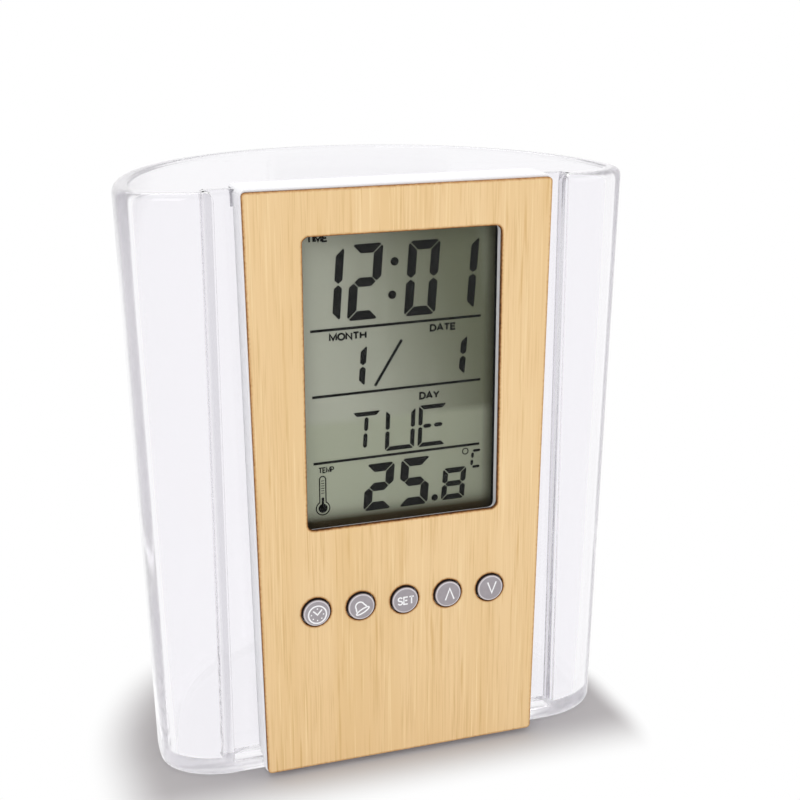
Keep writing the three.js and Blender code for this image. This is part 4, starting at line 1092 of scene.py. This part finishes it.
def display_art():
    """Every dark area of the display, as thin prisms on the image layer's front."""
    y0 = IMAGE_LOW.y
    y1 = IMAGE_LOW.y + MARK_DEPTH
    shapes = [prism(outline, y0, y1) for spec in DIGITS for outline in digit(*spec)]
    for x0, z0, x1, z1, width in STROKES:
        shapes.append(ribbon(on_display((x0, z0), (x1, z1)), width * MM, y0, y1))
    shapes += [prism(pointed_bar(*bar), y0, y1) for bar in BARS]
    for x, z, radius in DOTS:
        shapes.append(prism(circle(*on_display((x, z)), radius * MM, DOT_STEPS), y0, y1))
    degree = circle(*on_display((14.15, -17.05)), 0.6 * MM, 24)
    shapes.append(ribbon(degree, 0.2 * MM, y0, y1, closed=True))
    for text, left, right, low, high, line in LABELS:
        z0, z1 = DISPLAY_Z + low * MM, DISPLAY_Z + high * MM
        shapes.append(words(text, left * MM, right * MM, z0, z1, y0, y1, line * MM))
    shapes += thermometer(y0, y1)
    return join(shapes)


def display_sheet():
    """The sheet that carries the marks, a little larger than the window, with clipped corners."""
    middle, size = (IMAGE_LOW + IMAGE_HIGH) / 2, IMAGE_HIGH - IMAGE_LOW
    outline = rectangle(middle.x, middle.z, size.x, size.z, SHEET_CORNER)
    return prism(outline, IMAGE_LOW.y + MARK_RELIEF, IMAGE_HIGH.y)


make_object("display_marks", display_art(), "clock_module", INK, ["display_image"])
make_object(
    "display_sheet", display_sheet(), "clock_module", GROUND, ["display_image"],
)


# Finishes of the solids that stay

FINISHES = {
    "case_front": CASE, "case_back": COVER, "battery_cover": COVER,
    "display_polarizer": FILM, "display_front_glass": PANE, "display_rear_glass": PANE,
    "display_reflector": GROUND, "zebra_strip_top": ELASTOMER, "zebra_strip_bottom": ELASTOMER,
    "circuit_board": BOARD, "chip_blob": EPOXY, "thermistor": EPOXY, "crystal": STEEL,
    "capacitor_1": CERAMIC, "capacitor_2": CERAMIC, "buzzer_ceramic": CERAMIC,
    "buzzer_plate": BRASS, "contact_negative": BRASS, "contact_positive": BRASS,
    "coin_cell": STEEL, "key_mat": SILICONE,
}
for node_name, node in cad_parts.items():
    finish = STEEL if "screw" in node_name else FINISHES.get(node_name)
    if finish:
        for material_slot in node.material_slots:
            material_slot.material = finish


# Floor, light and camera

FLOOR_GAP = 0.2 * MM
FLOOR_RADIUS = 6.0
FLOOR_SIDES = 96
# How far the floor's painted shadow, a darker tone the camera sees, reaches from the foot
FADE_LEFT = 15 * MM
FADE_RIGHT = 7 * MM
FADE_FRONT = 19 * MM
WORLD_STRENGTH = 0.75
CEILING_SHADE = 0.75
MIDDLE = (0.0, 0.0, 0.05)
# Each lamp's name, place in metres, size and power in watts
LAMPS = (
    ("key_light", (-0.5, -0.7, 0.8), 0.6, 2.4), ("fill_light", (0.7, -0.5, 0.5), 0.6, 1.0),
    ("top_light", (0.0, 0.2, 1.0), 0.8, 1.5), ("back_light", (-0.1, 0.62, 0.88), 0.5, 1.8),
)


def seen_rays(tree):
    """Two masks: 1 for a camera ray, and 1 for a glossy or transmission ray."""
    path = tree.nodes.new("ShaderNodeLightPath")
    gloss, through = path.outputs["Is Glossy Ray"], path.outputs["Is Transmission Ray"]
    return path.outputs["Is Camera Ray"], math_node(tree, "MAXIMUM", gloss, through)


def floor_shadow_fade(tree):
    """0 at the foot's D shape to 1 where the floor's painted shadow ends, smooth between.

    It is the length of two shares: the distance beside or behind, measured in the D's own half
    width and back depth, and the distance before the front, each over how far the tone reaches.
    """
    axes = axes_of(tree, "Object")
    past_front = math_node(tree, "SUBTRACT", CUP_FRONT_Y, axes["Y"])
    past_middle = math_node(tree, "SUBTRACT", axes["Y"], WIDEST_Y)
    across = math_node(tree, "DIVIDE", math_node(tree, "ABSOLUTE", axes["X"], 0), BASE_HALF_WIDTH)
    behind = math_node(tree, "DIVIDE", above_zero(tree, past_middle), BASE_BACK_DEPTH)
    outside = math_node(tree, "SUBTRACT", length_node(tree, across, behind), 1.0)
    from_edge = math_node(tree, "MULTIPLY", above_zero(tree, outside), BASE_HALF_WIDTH)
    rightward = ramp(tree, axes["X"], -BASE_HALF_WIDTH, BASE_HALF_WIDTH)
    less = math_node(tree, "MULTIPLY", rightward, FADE_LEFT - FADE_RIGHT)
    reach = math_node(tree, "SUBTRACT", FADE_LEFT, less)
    beside = math_node(tree, "DIVIDE", from_edge, reach)
    before = math_node(tree, "DIVIDE", above_zero(tree, past_front), FADE_FRONT)
    return ramp(tree, length_node(tree, beside, before), 0.0, 1.0, "SMOOTHSTEP")


def make_floor():
    """A pale disc that keeps the object's shadow, with a painted grey shadow round the foot as the
    camera sees it, white far off and as seen through plastic.
    """
    material = bpy.data.materials.new("floor")
    material.use_nodes = True
    tree = material.node_tree
    tree.nodes.clear()
    output = tree.nodes.new("ShaderNodeOutputMaterial")
    direct, indirect = seen_rays(tree)
    # The camera sees the floor grey, a painted shadow round the foot, until the white takes over
    # further off
    colour = mix_colour(tree, direct, (0.97, 0.96, 0.97, 1), (0.46, 0.44, 0.443, 1))
    diffuse = add_node(tree, "ShaderNodeBsdfDiffuse", Color=colour)
    white = tree.nodes.new("ShaderNodeEmission")
    faded = math_node(tree, "MULTIPLY", floor_shadow_fade(tree), direct)
    factor = math_node(tree, "MAXIMUM", faded, indirect)
    mix_shaders(tree, factor, diffuse, white, output)
    mesh = bpy.data.meshes.new("floor")
    points = level(circle((0, 0), FLOOR_RADIUS, FLOOR_SIDES), -FLOOR_GAP)
    mesh.from_pydata(points.tolist(), [], [tuple(range(FLOOR_SIDES))])
    mesh.materials.append(material)
    floor = add_object("floor", mesh)


def make_world():
    """A plain pale surround, white where it is seen directly, in gloss paler at the sides."""
    world = bpy.data.worlds.new("studio")
    world.use_nodes = True
    tree = world.node_tree
    background = tree.nodes["Background"]
    direct, indirect = seen_rays(tree)
    height = ramp(tree, axes_of(tree, "Generated")["Z"], 0.3, 0.85, "SMOOTHSTEP")
    overhead = math_node(tree, "MULTIPLY", height, CEILING_SHADE)
    sides = math_node(tree, "SUBTRACT", 1 - WORLD_STRENGTH, overhead)
    mirrored = math_node(tree, "MULTIPLY", indirect, sides)
    seen = math_node(tree, "MULTIPLY", direct, 1 - WORLD_STRENGTH)
    strength = math_node(tree, "ADD", math_node(tree, "ADD", seen, mirrored), WORLD_STRENGTH)
    feed(tree, background, Strength=strength, Color=(1, 1, 1, 1))
    bpy.context.scene.world = world


def area_light(name, place, size, power):
    """A square soft light at a place, facing the object's middle."""
    lamp = bpy.data.lights.new(name, "AREA")
    lamp.shape = "SQUARE"
    lamp.size = size
    lamp.energy = power
    holder = add_object(name, lamp)
    holder.location = place
    holder.rotation_euler = (Vector(MIDDLE) - Vector(place)).to_track_quat("-Z", "Y").to_euler()


def make_camera():
    """The photograph's camera: place and axes from a fit to the face's corners."""
    right = Vector((0.94514632, -0.32664451, -0.00133782))
    up = Vector((0.09556376, 0.2725928, 0.95737178))
    forward = Vector((0.31235556, 0.90498427, -0.28885546))
    data = bpy.data.cameras.new("camera")
    data.sensor_width = 36.0
    data.lens = 65.93
    data.clip_start = 0.01
    camera = add_object("camera", data)
    basis = Matrix((right, up, -forward)).transposed().to_4x4()
    place = Vector((-87.45 * MM, FACE_LOW.y - 251.77 * MM, FACE_HIGH.z + 39.51 * MM))
    camera.matrix_world = Matrix.Translation(place) @ basis
    bpy.context.scene.camera = camera


make_floor()
make_world()
for lamp_row in LAMPS:
    area_light(*lamp_row)
make_camera()
bpy.context.scene.view_settings.view_transform = "Standard"
# Clear plastic turns a ray round many times before it leaves
cycles = bpy.context.scene.cycles
cycles.max_bounces = cycles.glossy_bounces = cycles.transmission_bounces = 64
cycles.transparent_max_bounces = 16
